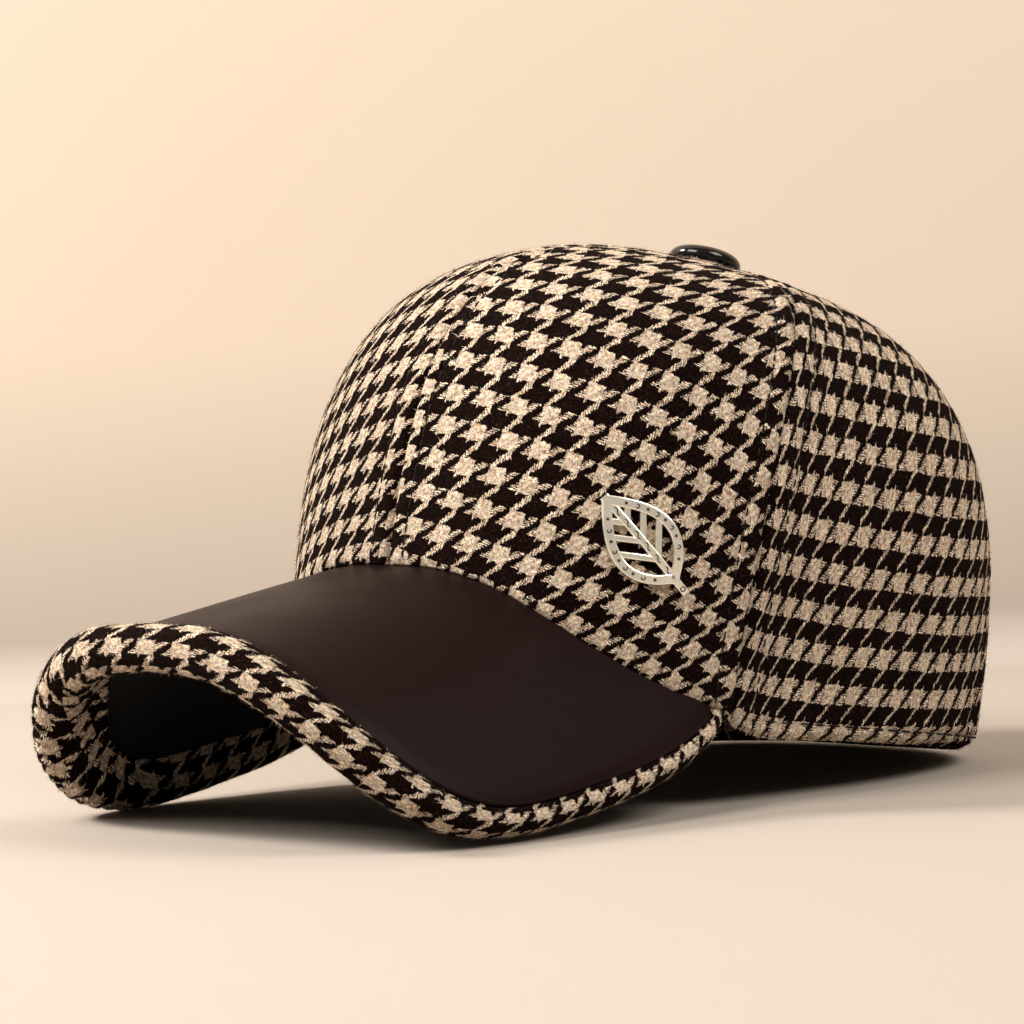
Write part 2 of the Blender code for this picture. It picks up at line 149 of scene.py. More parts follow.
def crown(angle, height):
    """Points of the crown's outer face; both inputs are arrays of one shape."""
    front = np.maximum(np.cos(angle), 0.0) ** 2
    back = np.maximum(-np.cos(angle), 0.0) ** 2
    side = np.sin(angle) ** 2
    shoulder = SHOULDERS["front"] * front + SHOULDERS["side"] * side + SHOULDERS["back"] * back
    swell = SWELLS["front"] * front + SWELLS["side"] * side + SWELLS["back"] * back
    height = clamp(height)
    reach = np.maximum(1.0 - height ** (2.0 / shoulder), 0.0) ** REACH_POWER
    rear = ((np.degrees(np.abs(angle)) - REAR_FULL_ANGLE) / REAR_FULL_SPREAD) ** 2
    rear = rear + ((height - REAR_FULL_HEIGHT) / REAR_FULL_RISE) ** 2
    reach = reach * (1.0 + swell * np.sin(np.pi * height ** BULGE_POWER) + REAR_FULLNESS * np.exp(-rear))
    length = np.where(np.cos(angle) > 0.0, FRONT_LENGTH, BACK_LENGTH)
    x = HALF_WIDTH * reach * signed_power(np.sin(angle), 2.0 / PLAN_POWER)
    y = -length * reach * signed_power(np.cos(angle), 2.0 / PLAN_POWER) + TOP_SETBACK * height ** 4
    z = (HEIGHT - TOP_FALL * height ** TOP_FALL_POWER - FRONT_RISE * y) * height
    z = z + TOP_LIFT * height ** TOP_LIFT_POWER
    back = y - BACK_LENGTH
    return np.stack([
        x,
        BACK_LENGTH + back * math.cos(TILT) + z * math.sin(TILT) + CENTRE_SHIFT,
        -back * math.sin(TILT) + z * math.cos(TILT),
    ], axis=-1)


def clamp(values):
    return np.clip(values, 0.0, 1.0)


def norm(vectors):
    return np.linalg.norm(vectors, axis=-1)


def running(steps):
    """Sums of the steps up to each point, from zero."""
    return np.concatenate([[0.0], np.cumsum(steps)])


def circle(count):
    """Angles of points all round."""
    return 2.0 * np.pi * np.arange(count) / count


def unit(vectors):
    return vectors / np.maximum(np.linalg.norm(vectors, axis=-1, keepdims=True), 1e-12)


def crown_normal(angle, height):
    low, high = np.maximum(height - STEP, 0.0), np.minimum(height + STEP, 0.99995)
    across = crown(angle + STEP, height) - crown(angle - STEP, height)
    up = crown(angle, high) - crown(angle, low)
    return unit(np.cross(across, up))


def seam_angle(seam, height):
    climb = np.arcsin(clamp(height) ** (1.0 / SHOULDERS["side"])) / (np.pi / 2.0)
    return np.radians(seam[0] + seam[1] * climb)


def visor_height(x, y):
    """y is in the cap's own measure, before the shift to the row's frame."""
    arch = VISOR_DROP * (np.abs(x) / VISOR_HALF_WIDTH) ** ARCH_POWER
    return VISOR_TOP_HEIGHT - arch + VISOR_SLOPE * (y - SLOPE_STATION)


def visor_normal(x):
    steep = VISOR_DROP * ARCH_POWER / VISOR_HALF_WIDTH * (np.abs(x) / VISOR_HALF_WIDTH) ** (ARCH_POWER - 1.0)
    flat = np.ones_like(x)
    return unit(np.stack([np.sign(x) * steep, -VISOR_SLOPE * flat, flat], axis=-1))


def visor_outline(turn):
    length = np.where(np.cos(turn) > 0.0, VISOR_REACH, VISOR_TAIL)
    x = VISOR_HALF_WIDTH * signed_power(np.sin(turn), 2.0 / OUTLINE_POWER)
    y = VISOR_WIDEST - length * signed_power(np.cos(turn), 2.0 / OUTLINE_POWER)
    return x, y


def rim_radius(turn):
    share = np.cos(np.minimum(np.abs(np.degrees(turn)) / RIM_TAPER_ANGLE, 1.0) * np.pi / 2.0)
    return RIM_END_RADIUS + (RIM_FRONT_RADIUS - RIM_END_RADIUS) * share


def rim_frame(turn):
    """Middle of the roll, and the directions across it in the sheet (inward), off the sheet and along it."""
    (x, y), (x0, y0), (x1, y1) = (visor_outline(value) for value in (turn, turn - STEP, turn + STEP))
    along = unit(np.stack([x1 - x0, y1 - y0, visor_height(x1, y1) - visor_height(x0, y0)], axis=-1))
    normal = visor_normal(x)
    across = unit(np.cross(normal, along))
    sink = np.minimum(RIM_SINK, rim_radius(turn))
    middle = np.stack([x, y + CENTRE_SHIFT, visor_height(x, y)], axis=-1) - normal * sink[..., None]
    return middle, across, normal, along


def bisect(test, low, high):
    """Where test turns from true to false, for arrays of limits."""
    low, high = np.array(low, float), np.array(high, float)
    for _ in range(40):
        middle = (low + high) / 2.0
        passed = test(middle)
        low, high = np.where(passed, middle, low), np.where(passed, high, middle)
    return (low + high) / 2.0


def junction_height(angle_at, count, depth):
    """Height fraction where the crown, depth inside its outer face, clears the visor's sheet by the gap."""
    def below(height):
        angle = angle_at(height)
        point = crown(angle, height) - crown_normal(angle, height) * depth
        x, y = point[..., 0], point[..., 1] - CENTRE_SHIFT
        return (point[..., 2] - visor_height(x, y)) * visor_normal(x)[..., 2] < GAP
    return bisect(below, np.zeros(count), np.full(count, 0.7))


def fixed_angle(degrees):
    return lambda height: np.full_like(height, math.radians(degrees))


CORNER_HEIGHT = junction_height(fixed_angle(VISOR_END), 1, 0.0)[0]
CORNER = crown(np.array([math.radians(VISOR_END)]), np.array([CORNER_HEIGHT]))[0]
CROWN_TOP = crown(np.array([0.0]), np.array([1.0]))[0]
RIM_LAST = float(bisect(lambda turn: visor_outline(turn)[1] < CORNER[1] - CENTRE_SHIFT - RIM_END_INSET,
                        math.pi / 2.0, math.pi))


def arc_tables():
    """Distances along the cloth for a lattice of angles and heights: round the cap from its front, and up."""
    angles = np.radians(np.linspace(0.0, 180.0, 721))
    heights = np.sin(np.linspace(0.0, 1.0, 501) * np.pi / 2.0)
    a, h = np.meshgrid(angles, heights, indexing="ij")
    points = crown(a, h)
    around, up = np.zeros(a.shape), np.zeros(a.shape)
    around[1:] = np.cumsum(norm(np.diff(points, axis=0)), axis=0)
    up[:, 1:] = np.cumsum(norm(np.diff(points, axis=1)), axis=1)
    return around, up


AROUND, UP = arc_tables()


def look_up(table, angle, height):
    """A table's value between its entries."""
    rows = np.clip(np.degrees(angle) * 4.0, 0.0, 719.999)
    columns = np.clip(np.arcsin(clamp(height)) / (np.pi / 2.0) * 500.0, 0.0, 499.999)
    i, j = rows.astype(int), columns.astype(int)
    s, t = rows - i, columns - j
    low = table[i, j] * (1.0 - s) + table[i + 1, j] * s
    high = table[i, j + 1] * (1.0 - s) + table[i + 1, j + 1] * s
    return low * (1.0 - t) + high * t


def smooth_noise(x, y, seed):
    """Soft value noise between -1 and 1 on a unit lattice."""
    i, j = np.floor(x).astype(int), np.floor(y).astype(int)
    s, t = x - i, y - j
    s, t = s * s * (3.0 - 2.0 * s), t * t * (3.0 - 2.0 * t)

    def value(p, q):
        mixed = np.sin(p * 127.1 + q * 311.7 + seed * 74.7) * 43758.5453
        return 2.0 * (mixed - np.floor(mixed)) - 1.0
    low = value(i, j) * (1.0 - s) + value(i + 1, j) * s
    high = value(i, j + 1) * (1.0 - s) + value(i + 1, j + 1) * s
    return low * (1.0 - t) + high * t


def bump(distance, width):
    return np.exp(-(distance / width) ** 2)


# ---------------------------------------------------------------- materials
def maths(operation):
    return lambda self, *others: self.math(operation, *others)


class Formula:
    """A node socket that can be used in a formula."""

    def __init__(self, tree, socket):
        self.tree, self.socket = tree, socket

    def math(self, operation, other=None):
        node = self.tree.nodes.new("ShaderNodeMath")
        node.operation = operation
        for slot, value in enumerate((self, other)):
            if isinstance(value, Formula):
                self.tree.links.new(value.socket, node.inputs[slot])
            elif value is not None:
                node.inputs[slot].default_value = value
        return Formula(self.tree, node.outputs[0])

    __add__, __sub__ = maths("ADD"), maths("SUBTRACT")
    __mul__, __pow__ = maths("MULTIPLY"), maths("POWER")
    floor, fraction = maths("FLOOR"), maths("FRACT")
    modulo, less = maths("FLOORED_MODULO"), maths("LESS_THAN")

    def clamp(self):
        return self.math("MAXIMUM", 0.0).math("MINIMUM", 1.0)

    def mix(self, low, high):
        """low where this is 0, high where it is 1."""
        return self * (high - low) + low


class Material:
    """A node material under construction, with short calls for the nodes that the finishes share."""

    def __init__(self, name):
        self.made = bpy.data.materials.new(name)
        self.made.use_nodes = True
        self.tree = self.made.node_tree
        self.shader = self.tree.nodes["Principled BSDF"]
        self.position = self.node("ShaderNodeNewGeometry").outputs["Position"]

    def node(self, kind, **inputs):
        """A new node with its inputs set, or linked to where they are sockets or formulas."""
        node = self.tree.nodes.new(kind)
        for name, value in inputs.items():
            self.join(value, node.inputs[name])
        return node

    def join(self, value, entry):
        if isinstance(value, Formula):
            value = value.socket
        if isinstance(value, bpy.types.NodeSocket):
            self.tree.links.new(value, entry)
        else:
            entry.default_value = value

    def set(self, **values):
        for name, value in values.items():
            self.join(value, self.shader.inputs[name.replace("_", " ")])

    def formula(self, socket):
        return Formula(self.tree, socket)

    def uv(self, name):
        place = self.node("ShaderNodeUVMap")
        place.uv_map = name
        parts = self.node("ShaderNodeSeparateXYZ", Vector=place.outputs[0]).outputs
        return self.formula(parts[0]), self.formula(parts[1])

    def vector(self, x, y, z):
        return self.node("ShaderNodeCombineXYZ", X=x, Y=y, Z=z).outputs[0]

    def noise(self, place, scale, detail=2.0, roughness=0.5):
        node = self.node("ShaderNodeTexNoise", Vector=place, Scale=scale, Detail=detail, Roughness=roughness)
        return self.formula(node.outputs[0])

    def cells(self, place, scale, feature="F1"):
        node = self.node("ShaderNodeTexVoronoi", Vector=place, Scale=scale)
        node.feature = feature
        return self.formula(node.outputs["Distance"])

    def random(self, place):
        return self.formula(self.node("ShaderNodeTexWhiteNoise", Vector=place).outputs["Value"])

    def blend(self, share, low, high):
        """A colour between two colours or colour sockets."""
        node = self.node("ShaderNodeMix")
        node.data_type = "RGBA"
        for slot, value in ((0, share), (6, low), (7, high)):
            self.join(value, node.inputs[slot])
        return node.outputs[2]

    def bumps(self, height, distance, strength=1.0):
        bump_node = self.node("ShaderNodeBump", Height=height, Distance=distance, Strength=strength)
        self.set(Normal=bump_node.outputs[0])


def houndstooth(name, warp_band, weft_band):
    """Houndstooth: dark and light bands of threads each way, in a twill.  The UV map counts threads.

    A band says where, along a diagonal of FLOAT threads, light threads of that kind show on dark ones: from
    and to at the top of the block, and from and to at its bottom.
    """
    cloth = Material(name)
    u, v = cloth.uv("weave")
    # the cloth drifts, single threads wander, and their edges are hairy
    drifts = (cloth.vector(u, v, 0.0), cloth.vector(v, u, 7.3))
    hairs = (cloth.vector(u, v * 0.55, 3.1), cloth.vector(u * 0.55, v, 9.4))
    u, v = (count + (cloth.noise(drift, 0.085) - 0.5) * DRIFT + (cloth.noise(hair, 0.9, 3.0, 0.75) - 0.5) * HAIR
            for count, drift, hair in zip((u, v), drifts, hairs))
    warp, weft = u.floor(), v.floor()
    warp_light, weft_light = ((thread + THREADS / 2).modulo(THREADS).less(THREADS / 2 - 0.5)
                              for thread in (warp, weft))
    # how far along its float each thread is: on top from 0 to 1
    down = (v * -1.0).modulo(THREADS / 2) * (2.0 / THREADS)

    def float_part(place, band):
        start, width = down.mix(band[0], band[2]), down.mix(band[1] - band[0], band[3] - band[2])
        return (place - start).modulo(FLOAT).math("DIVIDE", width)
    warp_part = float_part(v * -1.0 + warp + 0.5, warp_band)
    weft_part = float_part(u - weft - 0.5, weft_band)
    warp_round, weft_round = (((count.fraction() * 2.0 - 1.0) ** 2.0 * -1.0 + 1.0).clamp() for count in (u, v))
    grain = cloth.noise(cloth.vector(u, v, 21.0), 1.3, 2.0, 0.7)
    grain = grain + (cloth.noise(cloth.vector(u, v, 41.0), 0.4) - 0.45) * 0.9

    def shown(part, roundness, taper, rough, thinness):
        """A light thread on dark ones is thin, and thinnest at its end."""
        return part.less(1.0) * (((part - 0.5) ** 4.0) * taper + grain * rough + thinness).less(roundness)
    warp_shown = shown(warp_part, warp_round, 3.0, 0.64, 0.20)
    weft_shown = shown(weft_part, weft_round, 5.0, 0.80, 0.28)
    light_up = warp_light.mix(weft_light * weft_shown, weft_light.mix(warp_shown, warp_light))
    # which thread lies on top in the plain parts of the twill
    warp_up = (warp - weft - (warp_band[0] - 0.5)).modulo(FLOAT).less(FLOAT / 2 - 0.5)
    on_warp = (warp_light - weft_light).math("ABSOLUTE").mix(warp_up, warp_light)
    arch = (on_warp.mix(weft_part, warp_part).clamp() * math.pi).math("SINE").clamp() ** 0.5
    height = on_warp.mix(weft_round, warp_round) ** 0.5 * (arch * 0.4 + 0.6)
    # fibres along each thread, tufts, and threads of slightly different colour
    run, across = on_warp.mix(u, v), on_warp.mix(v, u)
    fibre = cloth.noise(cloth.vector(run * 0.5, across * 2.4, on_warp), 1.5, 3.0, 0.75)
    tuft = cloth.noise(cloth.vector(u, v, 5.0), 0.62, 4.0, 0.85)
    yarn = cloth.random(cloth.vector(on_warp.mix(weft, warp), on_warp, 0.0))
    speck = cloth.noise(cloth.vector(u, v, 33.0), 2.1, 2.0, 0.6)
    light = cloth.blend((tuft * 6.5 - 2.6).clamp(), LIGHT_WOOL_LOW, LIGHT_WOOL_HIGH)
    deep = cloth.blend((speck * 6.0 - 3.5).clamp(), DARK_WOOL, DARK_WOOL_FLECK)
    # painted shade: the colour darkens where a thread's height falls, at its edges and towards the ends of its
    # floats, standing in for the shade between threads; the fibre streaks also make it darker and lighter along
    # each thread, and the yarn tone varies from thread to thread
    painted_shade_and_fibres = (height + 0.34) * (fibre * 3.0 - 0.30).clamp() * (yarn * 0.20 + 0.94)
    shaded = cloth.node("ShaderNodeVectorMath")
    shaded.operation = "SCALE"
    cloth.join(cloth.blend(light_up, deep, light), shaded.inputs[0])
    cloth.join(painted_shade_and_fibres, shaded.inputs["Scale"])
    cloth.set(Base_Color=shaded.outputs[0], Roughness=0.95, Sheen_Weight=0.010, Sheen_Roughness=0.25,
              Specular_IOR_Level=0.02)
    cloth.bumps(height * 0.7 + tuft * 1.2 + fibre * 0.5, 0.75 * MM)
    return cloth.made


def leather():
    skin = Material("visor_leather_finish")
    grain = skin.cells(skin.position, 2600.0)
    pores = skin.cells(skin.position, 900.0, "DISTANCE_TO_EDGE")
    soft = skin.noise(skin.position, 60.0, 3.0)
    cloudy = skin.noise(skin.position, 18.0, 3.0, 0.6)
    color = skin.blend((cloudy * 1.6 - 0.3).clamp(), LEATHER_LOW, LEATHER_HIGH)
    skin.set(Base_Color=color, Roughness=soft * 0.12 + grain * 0.06 + 0.32, Specular_IOR_Level=0.05)
    skin.bumps(grain * -0.35 + (pores * 6.0).clamp() * 0.5 + soft * 0.6, 0.05 * MM, 0.55)
    return skin.made


def plain_cloth(name, low, high):
    """A fine plain weave, for the underside and the stitching."""
    cloth = Material(name)
    spread = cloth.noise(cloth.position, 1400.0, 3.0, 0.7)
    soft = cloth.noise(cloth.position, 90.0)
    cloth.set(Base_Color=cloth.blend((spread * 1.4 - 0.2).clamp(), low, high), Roughness=soft * 0.1 + 0.85,
              Sheen_Weight=0.05, Specular_IOR_Level=0.12)
    cloth.bumps(spread, 0.15 * MM, 0.7)
    return cloth.made


def glossy_black():
    dome = Material("button_finish")
    smear = dome.noise(dome.position, 140.0, 4.0, 0.6)
    dome.set(Base_Color=dome.blend(smear, *GLOSS_COLORS), Roughness=smear * 0.10 + 0.06,
             Specular_IOR_Level=0.25, Coat_Weight=0.12, Coat_Roughness=0.05)
    return dome.made


def pale_gold():
    metal = Material("pale_gold_finish")
    wear = metal.noise(metal.position, 260.0, 3.0, 0.55)
    metal.set(Base_Color=metal.blend((wear * 1.6 - 0.3).clamp(), *GOLD_COLORS), Roughness=wear * 0.10 + 0.20,
              Metallic=0.72, Specular_IOR_Level=0.6)
    metal.bumps(wear, 0.02 * MM, 0.3)
    return metal.made


def enamel():
    fill = Material("engraving_finish")
    fill.set(Base_Color=fill.blend(fill.noise(fill.position, 900.0), *ENAMEL_COLORS), Roughness=0.4)
    return fill.made


WOOL = houndstooth("houndstooth_wool", *FRONT_BANDS)
SIDE_WOOL = houndstooth("houndstooth_wool_side", *SIDE_BANDS)
LEATHER = leather()
BLACK_CLOTH = plain_cloth("black_cloth_finish", *BLACK_CLOTH_COLORS)
THREAD = plain_cloth("dark_thread", *THREAD_COLORS)
GLOSS = glossy_black()
GOLD = pale_gold()
ENAMEL = enamel()


# ---------------------------------------------------------------- meshes
INNER_STEP = 4                   # the inner face of a sheet of cloth is this many times coarser than the outer


def new_piece(name, points, faces, surface, slot, replaced=(), uvs=None, outward=True):
    """A smooth closed piece that rides on the cap.  uvs is {map name: one pair for each face corner}."""
    mesh = bpy.data.meshes.new(name)
    mesh.from_pydata([tuple(p) for p in points], [], faces)
    mesh.materials.append(surface)
    for uv_name, values in (uvs or {}).items():
        layer = mesh.uv_layers.new(name=uv_name)
        layer.data.foreach_set("uv", np.asarray(values, np.float32).ravel())
    made = bpy.data.objects.new(name, mesh)
    bpy.context.collection.objects.link(made)
    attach(made, "root")
    if replaced:
        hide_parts(*replaced)
    if outward:
        body = bmesh.new()
        body.from_mesh(mesh)
        bmesh.ops.recalc_face_normals(body, faces=body.faces)
        body.to_mesh(mesh)
        body.free()
    mesh.shade_smooth()
    return made


def corner_values(faces, values):
    """Each vertex's value at every face corner."""
    return values[np.fromiter((index for face in faces for index in face), int)]


def tube_faces(rings, sides):
    """Faces of a tube of rings of points, and of its two ends."""
    faces = [[i * sides + k, i * sides + (k + 1) % sides, (i + 1) * sides + (k + 1) % sides, (i + 1) * sides + k]
             for i in range(rings - 1) for k in range(sides)]
    return faces + [list(range(sides - 1, -1, -1)), [(rings - 1) * sides + k for k in range(sides)]]


def merge(parts):
    """Vertices and faces of several (vertices, faces) as one."""
    verts, faces = [], []
    for more_verts, more_faces in parts:
        faces += [[index + len(verts) for index in face] for face in more_faces]
        verts += list(more_verts)
    return verts, faces


def shell(name, outer, inner, weave, surface, slot, replaced, bake_share):
    """A closed body between a fine grid and, behind it, a coarser one with every INNER_STEP-th point."""
    picked = inner[::INNER_STEP, ::INNER_STEP]
    fine, coarse = (np.arange(grid.shape[0] * grid.shape[1]).reshape(grid.shape[:2]) for grid in (outer, picked))
    coarse = coarse + fine.size

    def corners(index):
        return index[:-1, :-1], index[:-1, 1:], index[1:, 1:], index[1:, :-1]
    faces = np.stack(corners(fine), -1).reshape(-1, 4).tolist()
    a, b, c, d = corners(coarse)
    faces += np.stack([a, d, c, b], -1).reshape(-1, 4).tolist()
    sides = []
    for near, far, forward in ((fine, coarse, (True, False)), (fine.T, coarse.T, (False, True))):
        for n in range(len(far) - 1):
            for line in (0, -1):
                edge = near[n * INNER_STEP:(n + 1) * INNER_STEP + 1, line].tolist()
                pair = far[n:n + 2, line].tolist()
                sides.append(edge + pair[::-1] if forward[line] else edge[::-1] + pair)
    points, threads = (np.concatenate([grid.reshape(-1, grid.shape[-1]), rest.reshape(-1, grid.shape[-1])])
                       for grid, rest in ((outer, picked), (weave, weave[::INNER_STEP, ::INNER_STEP])))

    # the bake map: the fine face below, the coarse one in the strip above it, the edges in a small spot
    def spread(grid, low, size):
        r, c = np.meshgrid(*(np.linspace(0, 1, count) for count in grid.shape[:2]), indexing="ij")
        return np.stack([0.01 + 0.98 * c, low + size * r], -1).reshape(-1, 2)
    places = [spread(outer, 0.01, bake_share - 0.02), spread(picked, bake_share + 0.02, 0.97 - bake_share)]
    bake = corner_values(faces + sides, np.concatenate(places))
    start = 4 * len(faces)
    for face in sides:
        turn = circle(len(face))
        spot = 0.003 * np.stack([np.cos(turn), np.sin(turn)], -1)
        bake[start:start + len(face)] = (0.005, bake_share + 0.005) + spot
        start += len(face)
    faces += sides
    return new_piece(name, points, faces, surface, slot, replaced,
                     {"weave": corner_values(faces, threads), "OFBake": bake})


# ---------------------------------------------------------------- crown panels
PANEL_COLUMNS = 108              # both are whole multiples of INNER_STEP
PANEL_ROWS = 164
COLUMN_CROWDING = 0.55           # how much closer the columns and rows lie at a panel's edges
ROW_CROWDING = 0.42
TOP_CROWDING = 1.12
EDGE_CLEARANCE = 0.06 * MM
SEAM_DEPTH = 1.15 * MM           # the cloth turns in at a seam
SEAM_TURN = 1.15 * MM
ALLOWANCE_SWELL = 0.40 * MM      # the folded cloth under it lifts the surface up to the topstitch
ALLOWANCE_START = 1.8 * MM
ALLOWANCE_END = 0.5 * MM
TOPSTITCH = 6.3 * MM             # from the seam
BROAD_UNEVENNESS = 0.28 * MM
FINE_UNEVENNESS = 0.10 * MM
EASE = 20.0 * MM                 # the side panel's cloth is crowded in beside the front panel
EASE_WIDTH = 12.0 * MM
EASE_START = 1.15                # and ever less so towards the top
EASE_HEIGHT = 150.0 * MM
EASE_LEAST = 0.25
PANEL_ROOM = 26.0 * MM           # where a panel is narrower than this, its seams are less deep
STITCH_DEPTH = 0.42 * MM
STITCH_WIDTH = 0.75 * MM
STITCH_LENGTH = 3.3 * MM
HEM_STITCH = 3.7 * MM            # above the hem's edge
HEM_STITCH_LENGTH = 5.9 * MM
HEM_STITCH_START = 1.0           # degrees behind the visor's end, and over how many they set in
HEM_STITCH_EASE = 8.0
HEM_STITCH_PULL = 1.5            # their groove against that of the topstitch
HEM_PUCKERS = ((0.30 * MM, 1.9 * MM, 1.6 * MM), (0.16 * MM, 6.5 * MM, 3.5 * MM))  # depth, height and spread
HEM_TURN = 1.3 * MM
HEM_TURN_DEPTH = 1.5 * MM
VISOR_TURN_DEPTH = 1.0 * MM      # along the visor, the edge also runs in soft scallops
SCALLOP_WIDTH = 5.2 * MM
SCALLOP_DEPTH = 0.30 * MM
SCALLOP_HEIGHT = 4.0 * MM
HEM_TUCK = 3.2 * MM              # round the back the hem turns in; the angles are in degrees
HEM_TUCK_HEIGHT = 7.5 * MM
HEM_TUCK_START = 92.0
HEM_TUCK_EASE = 25.0
SIDE_HANG = 1.2 * MM             # and at the sides it hangs lower
SIDE_HANG_ANGLE = 80.0
SIDE_HANG_SPREAD = 7.0
FAR_HANG = 2.0 * MM
HANG_HEIGHT = 18.0 * MM


def closer_at_ends(count, strength):
    """Shares from 0 to 1 that are closer together at both ends."""
    t = np.linspace(0.0, 1.0, count + 1)
    return t - strength * np.sin(2.0 * np.pi * t) / (2.0 * np.pi)


def hem_lift(degrees):
    """Height fraction of the hem behind the visor, which comes down from the visor's corner to its plane."""
    along = clamp((degrees - VISOR_END) / (HEM_LIFT_END - VISOR_END))
    return CORNER_HEIGHT * (1.0 - along) ** 2 * (1.0 + 2.0 * along)


def panel_lattice(seam_a, seam_b, depth):
    """Angles and heights of a panel's grid, rows from the bottom up."""
    share = closer_at_ends(PANEL_COLUMNS, COLUMN_CROWDING)

    def angle_at(height):
        start, end = seam_angle(seam_a, height), seam_angle(seam_b, height)
        return start + (end - start) * share
    hem_angle = np.degrees(angle_at(np.zeros_like(share)))
    over_visor = hem_angle <= VISOR_END + 1e-6
    low = np.where(over_visor, junction_height(angle_at, len(share), depth), hem_lift(hem_angle))
    top_angle = angle_at(np.ones_like(share))
    high = bisect(lambda height: norm(crown(top_angle, height) - CROWN_TOP) > TOP_HOLE,
                  np.full(len(share), 0.9), np.ones(len(share)))
    low, high = np.arcsin(low) / (np.pi / 2.0), np.arcsin(high) / (np.pi / 2.0)
    climb = 1.0 - (1.0 - closer_at_ends(PANEL_ROWS, ROW_CROWDING)) ** TOP_CROWDING
    height = np.sin(np.pi / 2.0 * (low[None] + (high - low)[None] * climb[:, None]))
    return angle_at(height), height


def weave_place(grid_name, u, v):
    """Thread counts across and up for places on the cloth."""
    u, v = u / BEND_U, v / BEND_V - 1.0
    terms = (1.0, u, v, u * u, u * v, v * v)
    counts = [sum(factor * term for factor, term in zip(row, terms)) for row in GRIDS[grid_name]]
    return (np.stack(counts, axis=-1) + 0.75) * THREADS


def stitch_dent(distance, along, length):
    """Depth of a line of stitches: a groove that is deeper at each needle hole."""
    hole = 1.0 - np.abs(np.sin(np.pi * along / length))
    return bump(distance, STITCH_WIDTH) * STITCH_DEPTH * (0.75 + 0.75 * hole)


def unevenness(surface, around, up):
    """Soft unevenness of steamed wool, the same on both sides of a seam."""
    broad = smooth_noise(surface[..., 0] / 0.031 + 5.0, (surface[..., 1] + surface[..., 2]) / 0.034, 5)
    return BROAD_UNEVENNESS * broad + FINE_UNEVENNESS * smooth_noise(around / 0.009, up / 0.010, 8)


def panel_lift(place, degrees, surface, around, up, from_seams):
    """How far the cloth stands off the crown's plain surface."""
    room = clamp(sum(from_seams) / PANEL_ROOM)
    lift = np.zeros_like(up)
    for distance in from_seams:
        lift -= SEAM_DEPTH * bump(distance, SEAM_TURN) * (0.35 + 0.65 * room)
        plateau = 1.0 / (1.0 + np.exp((distance - TOPSTITCH) / ALLOWANCE_END))
        lift += ALLOWANCE_SWELL * plateau * room * (1.0 - bump(distance, ALLOWANCE_START))
        lift -= stitch_dent(distance - TOPSTITCH, up, STITCH_LENGTH) * room
    above = up - up[:1]
    if place == "front":
        lift -= VISOR_TURN_DEPTH * bump(above, HEM_TURN)
        scallop = smooth_noise(around / SCALLOP_WIDTH, np.zeros_like(around), 3)
        lift += SCALLOP_DEPTH * scallop * bump(above, SCALLOP_HEIGHT)
    else:
        lift -= HEM_TURN_DEPTH * bump(above, HEM_TURN)
    behind = clamp((degrees - VISOR_END - HEM_STITCH_START) / HEM_STITCH_EASE)
    lift -= behind * HEM_STITCH_PULL * stitch_dent(above - HEM_STITCH, around, HEM_STITCH_LENGTH)
    pucker = np.cos(2.0 * np.pi * around / HEM_STITCH_LENGTH)
    for depth, height, spread in HEM_PUCKERS:
        lift += behind * depth * pucker * bump(above - height, spread)
    return lift + unevenness(surface, around, up) * room


def hem_shift(degrees, above, side, hem_height):
    """How far the cloth turns in at the hem, round the back, and how far it hangs down, at the sides."""
    round_back = clamp((degrees - HEM_TUCK_START) / HEM_TUCK_EASE)
    tuck = HEM_TUCK * round_back * clamp(1.0 - above / HEM_TUCK_HEIGHT) ** 2
    hang = SIDE_HANG * bump(degrees - SIDE_HANG_ANGLE, SIDE_HANG_SPREAD)
    if side < 0:
        hang = hang + np.clip(hem_height - 0.2 * MM, 0.0, FAR_HANG) * round_back
    return tuck, hang * clamp(1.0 - above / HANG_HEIGHT) ** 2


def panel_weave(place, side, from_a, up):
    """Thread counts on a panel, from the distances to its front seam and to the hem."""
    if place == "front":
        return weave_place("front_left" if side > 0 else "front_right", from_a * side, up)
    if place == "side":
        strength = np.clip(EASE_START - up / EASE_HEIGHT, EASE_LEAST, 1.0)
        from_a = from_a - EASE * (1.0 - np.tanh(from_a / EASE_WIDTH)) * strength
    return weave_place(place, from_a, up) * np.array([side, 1.0])


def add_panel(place, side_name, side, seam_a, seam_b):
    angle, height = panel_lattice(seam_a, seam_b, 0.0)
    around, up = look_up(AROUND, angle, height), look_up(UP, angle, height)
    from_a = around - look_up(AROUND, seam_angle(seam_a, height), height)
    from_b = look_up(AROUND, seam_angle(seam_b, height), height) - around
    surface, normal, degrees = crown(angle, height), crown_normal(angle, height), np.degrees(angle)
    lift = panel_lift(place, degrees, surface, around, up, (from_a, from_b))
    inset = np.zeros_like(angle)
    inset[:, 0], inset[:, -1] = EDGE_CLEARANCE, -EDGE_CLEARANCE
    along = unit(crown(angle + STEP, height) - crown(angle - STEP, height))
    outer = surface + normal * lift[..., None] + along * inset[..., None]
    inner_place = panel_lattice(seam_a, seam_b, WALL)
    inner = crown(*inner_place) - crown_normal(*inner_place) * WALL * 0.95
    tuck, hang = hem_shift(degrees, up - up[:1], side, surface[:1, :, 2])
    for grid in (outer, inner):
        grid -= normal * tuck[..., None]
        grid[..., 2] -= hang
        grid[..., 0] *= side
    cloth = WOOL if place == "front" else SIDE_WOOL
    return shell(f"{place}_{side_name}_cloth", outer, inner, panel_weave(place, side, from_a, up), cloth,
                 "wool_cloth", [f"{place}_{side_name}_panel"], 0.80)


def add_crown():
    spans = {"front": (FRONT_SEAM, SIDE_SEAM), "side": (SIDE_SEAM, REAR_SEAM), "back": (REAR_SEAM, BACK_SEAM)}
    return {f"{place}_{side_name}": add_panel(place, side_name, side, *seams)
            for place, seams in spans.items() for side_name, side in (("left", 1), ("right", -1))}


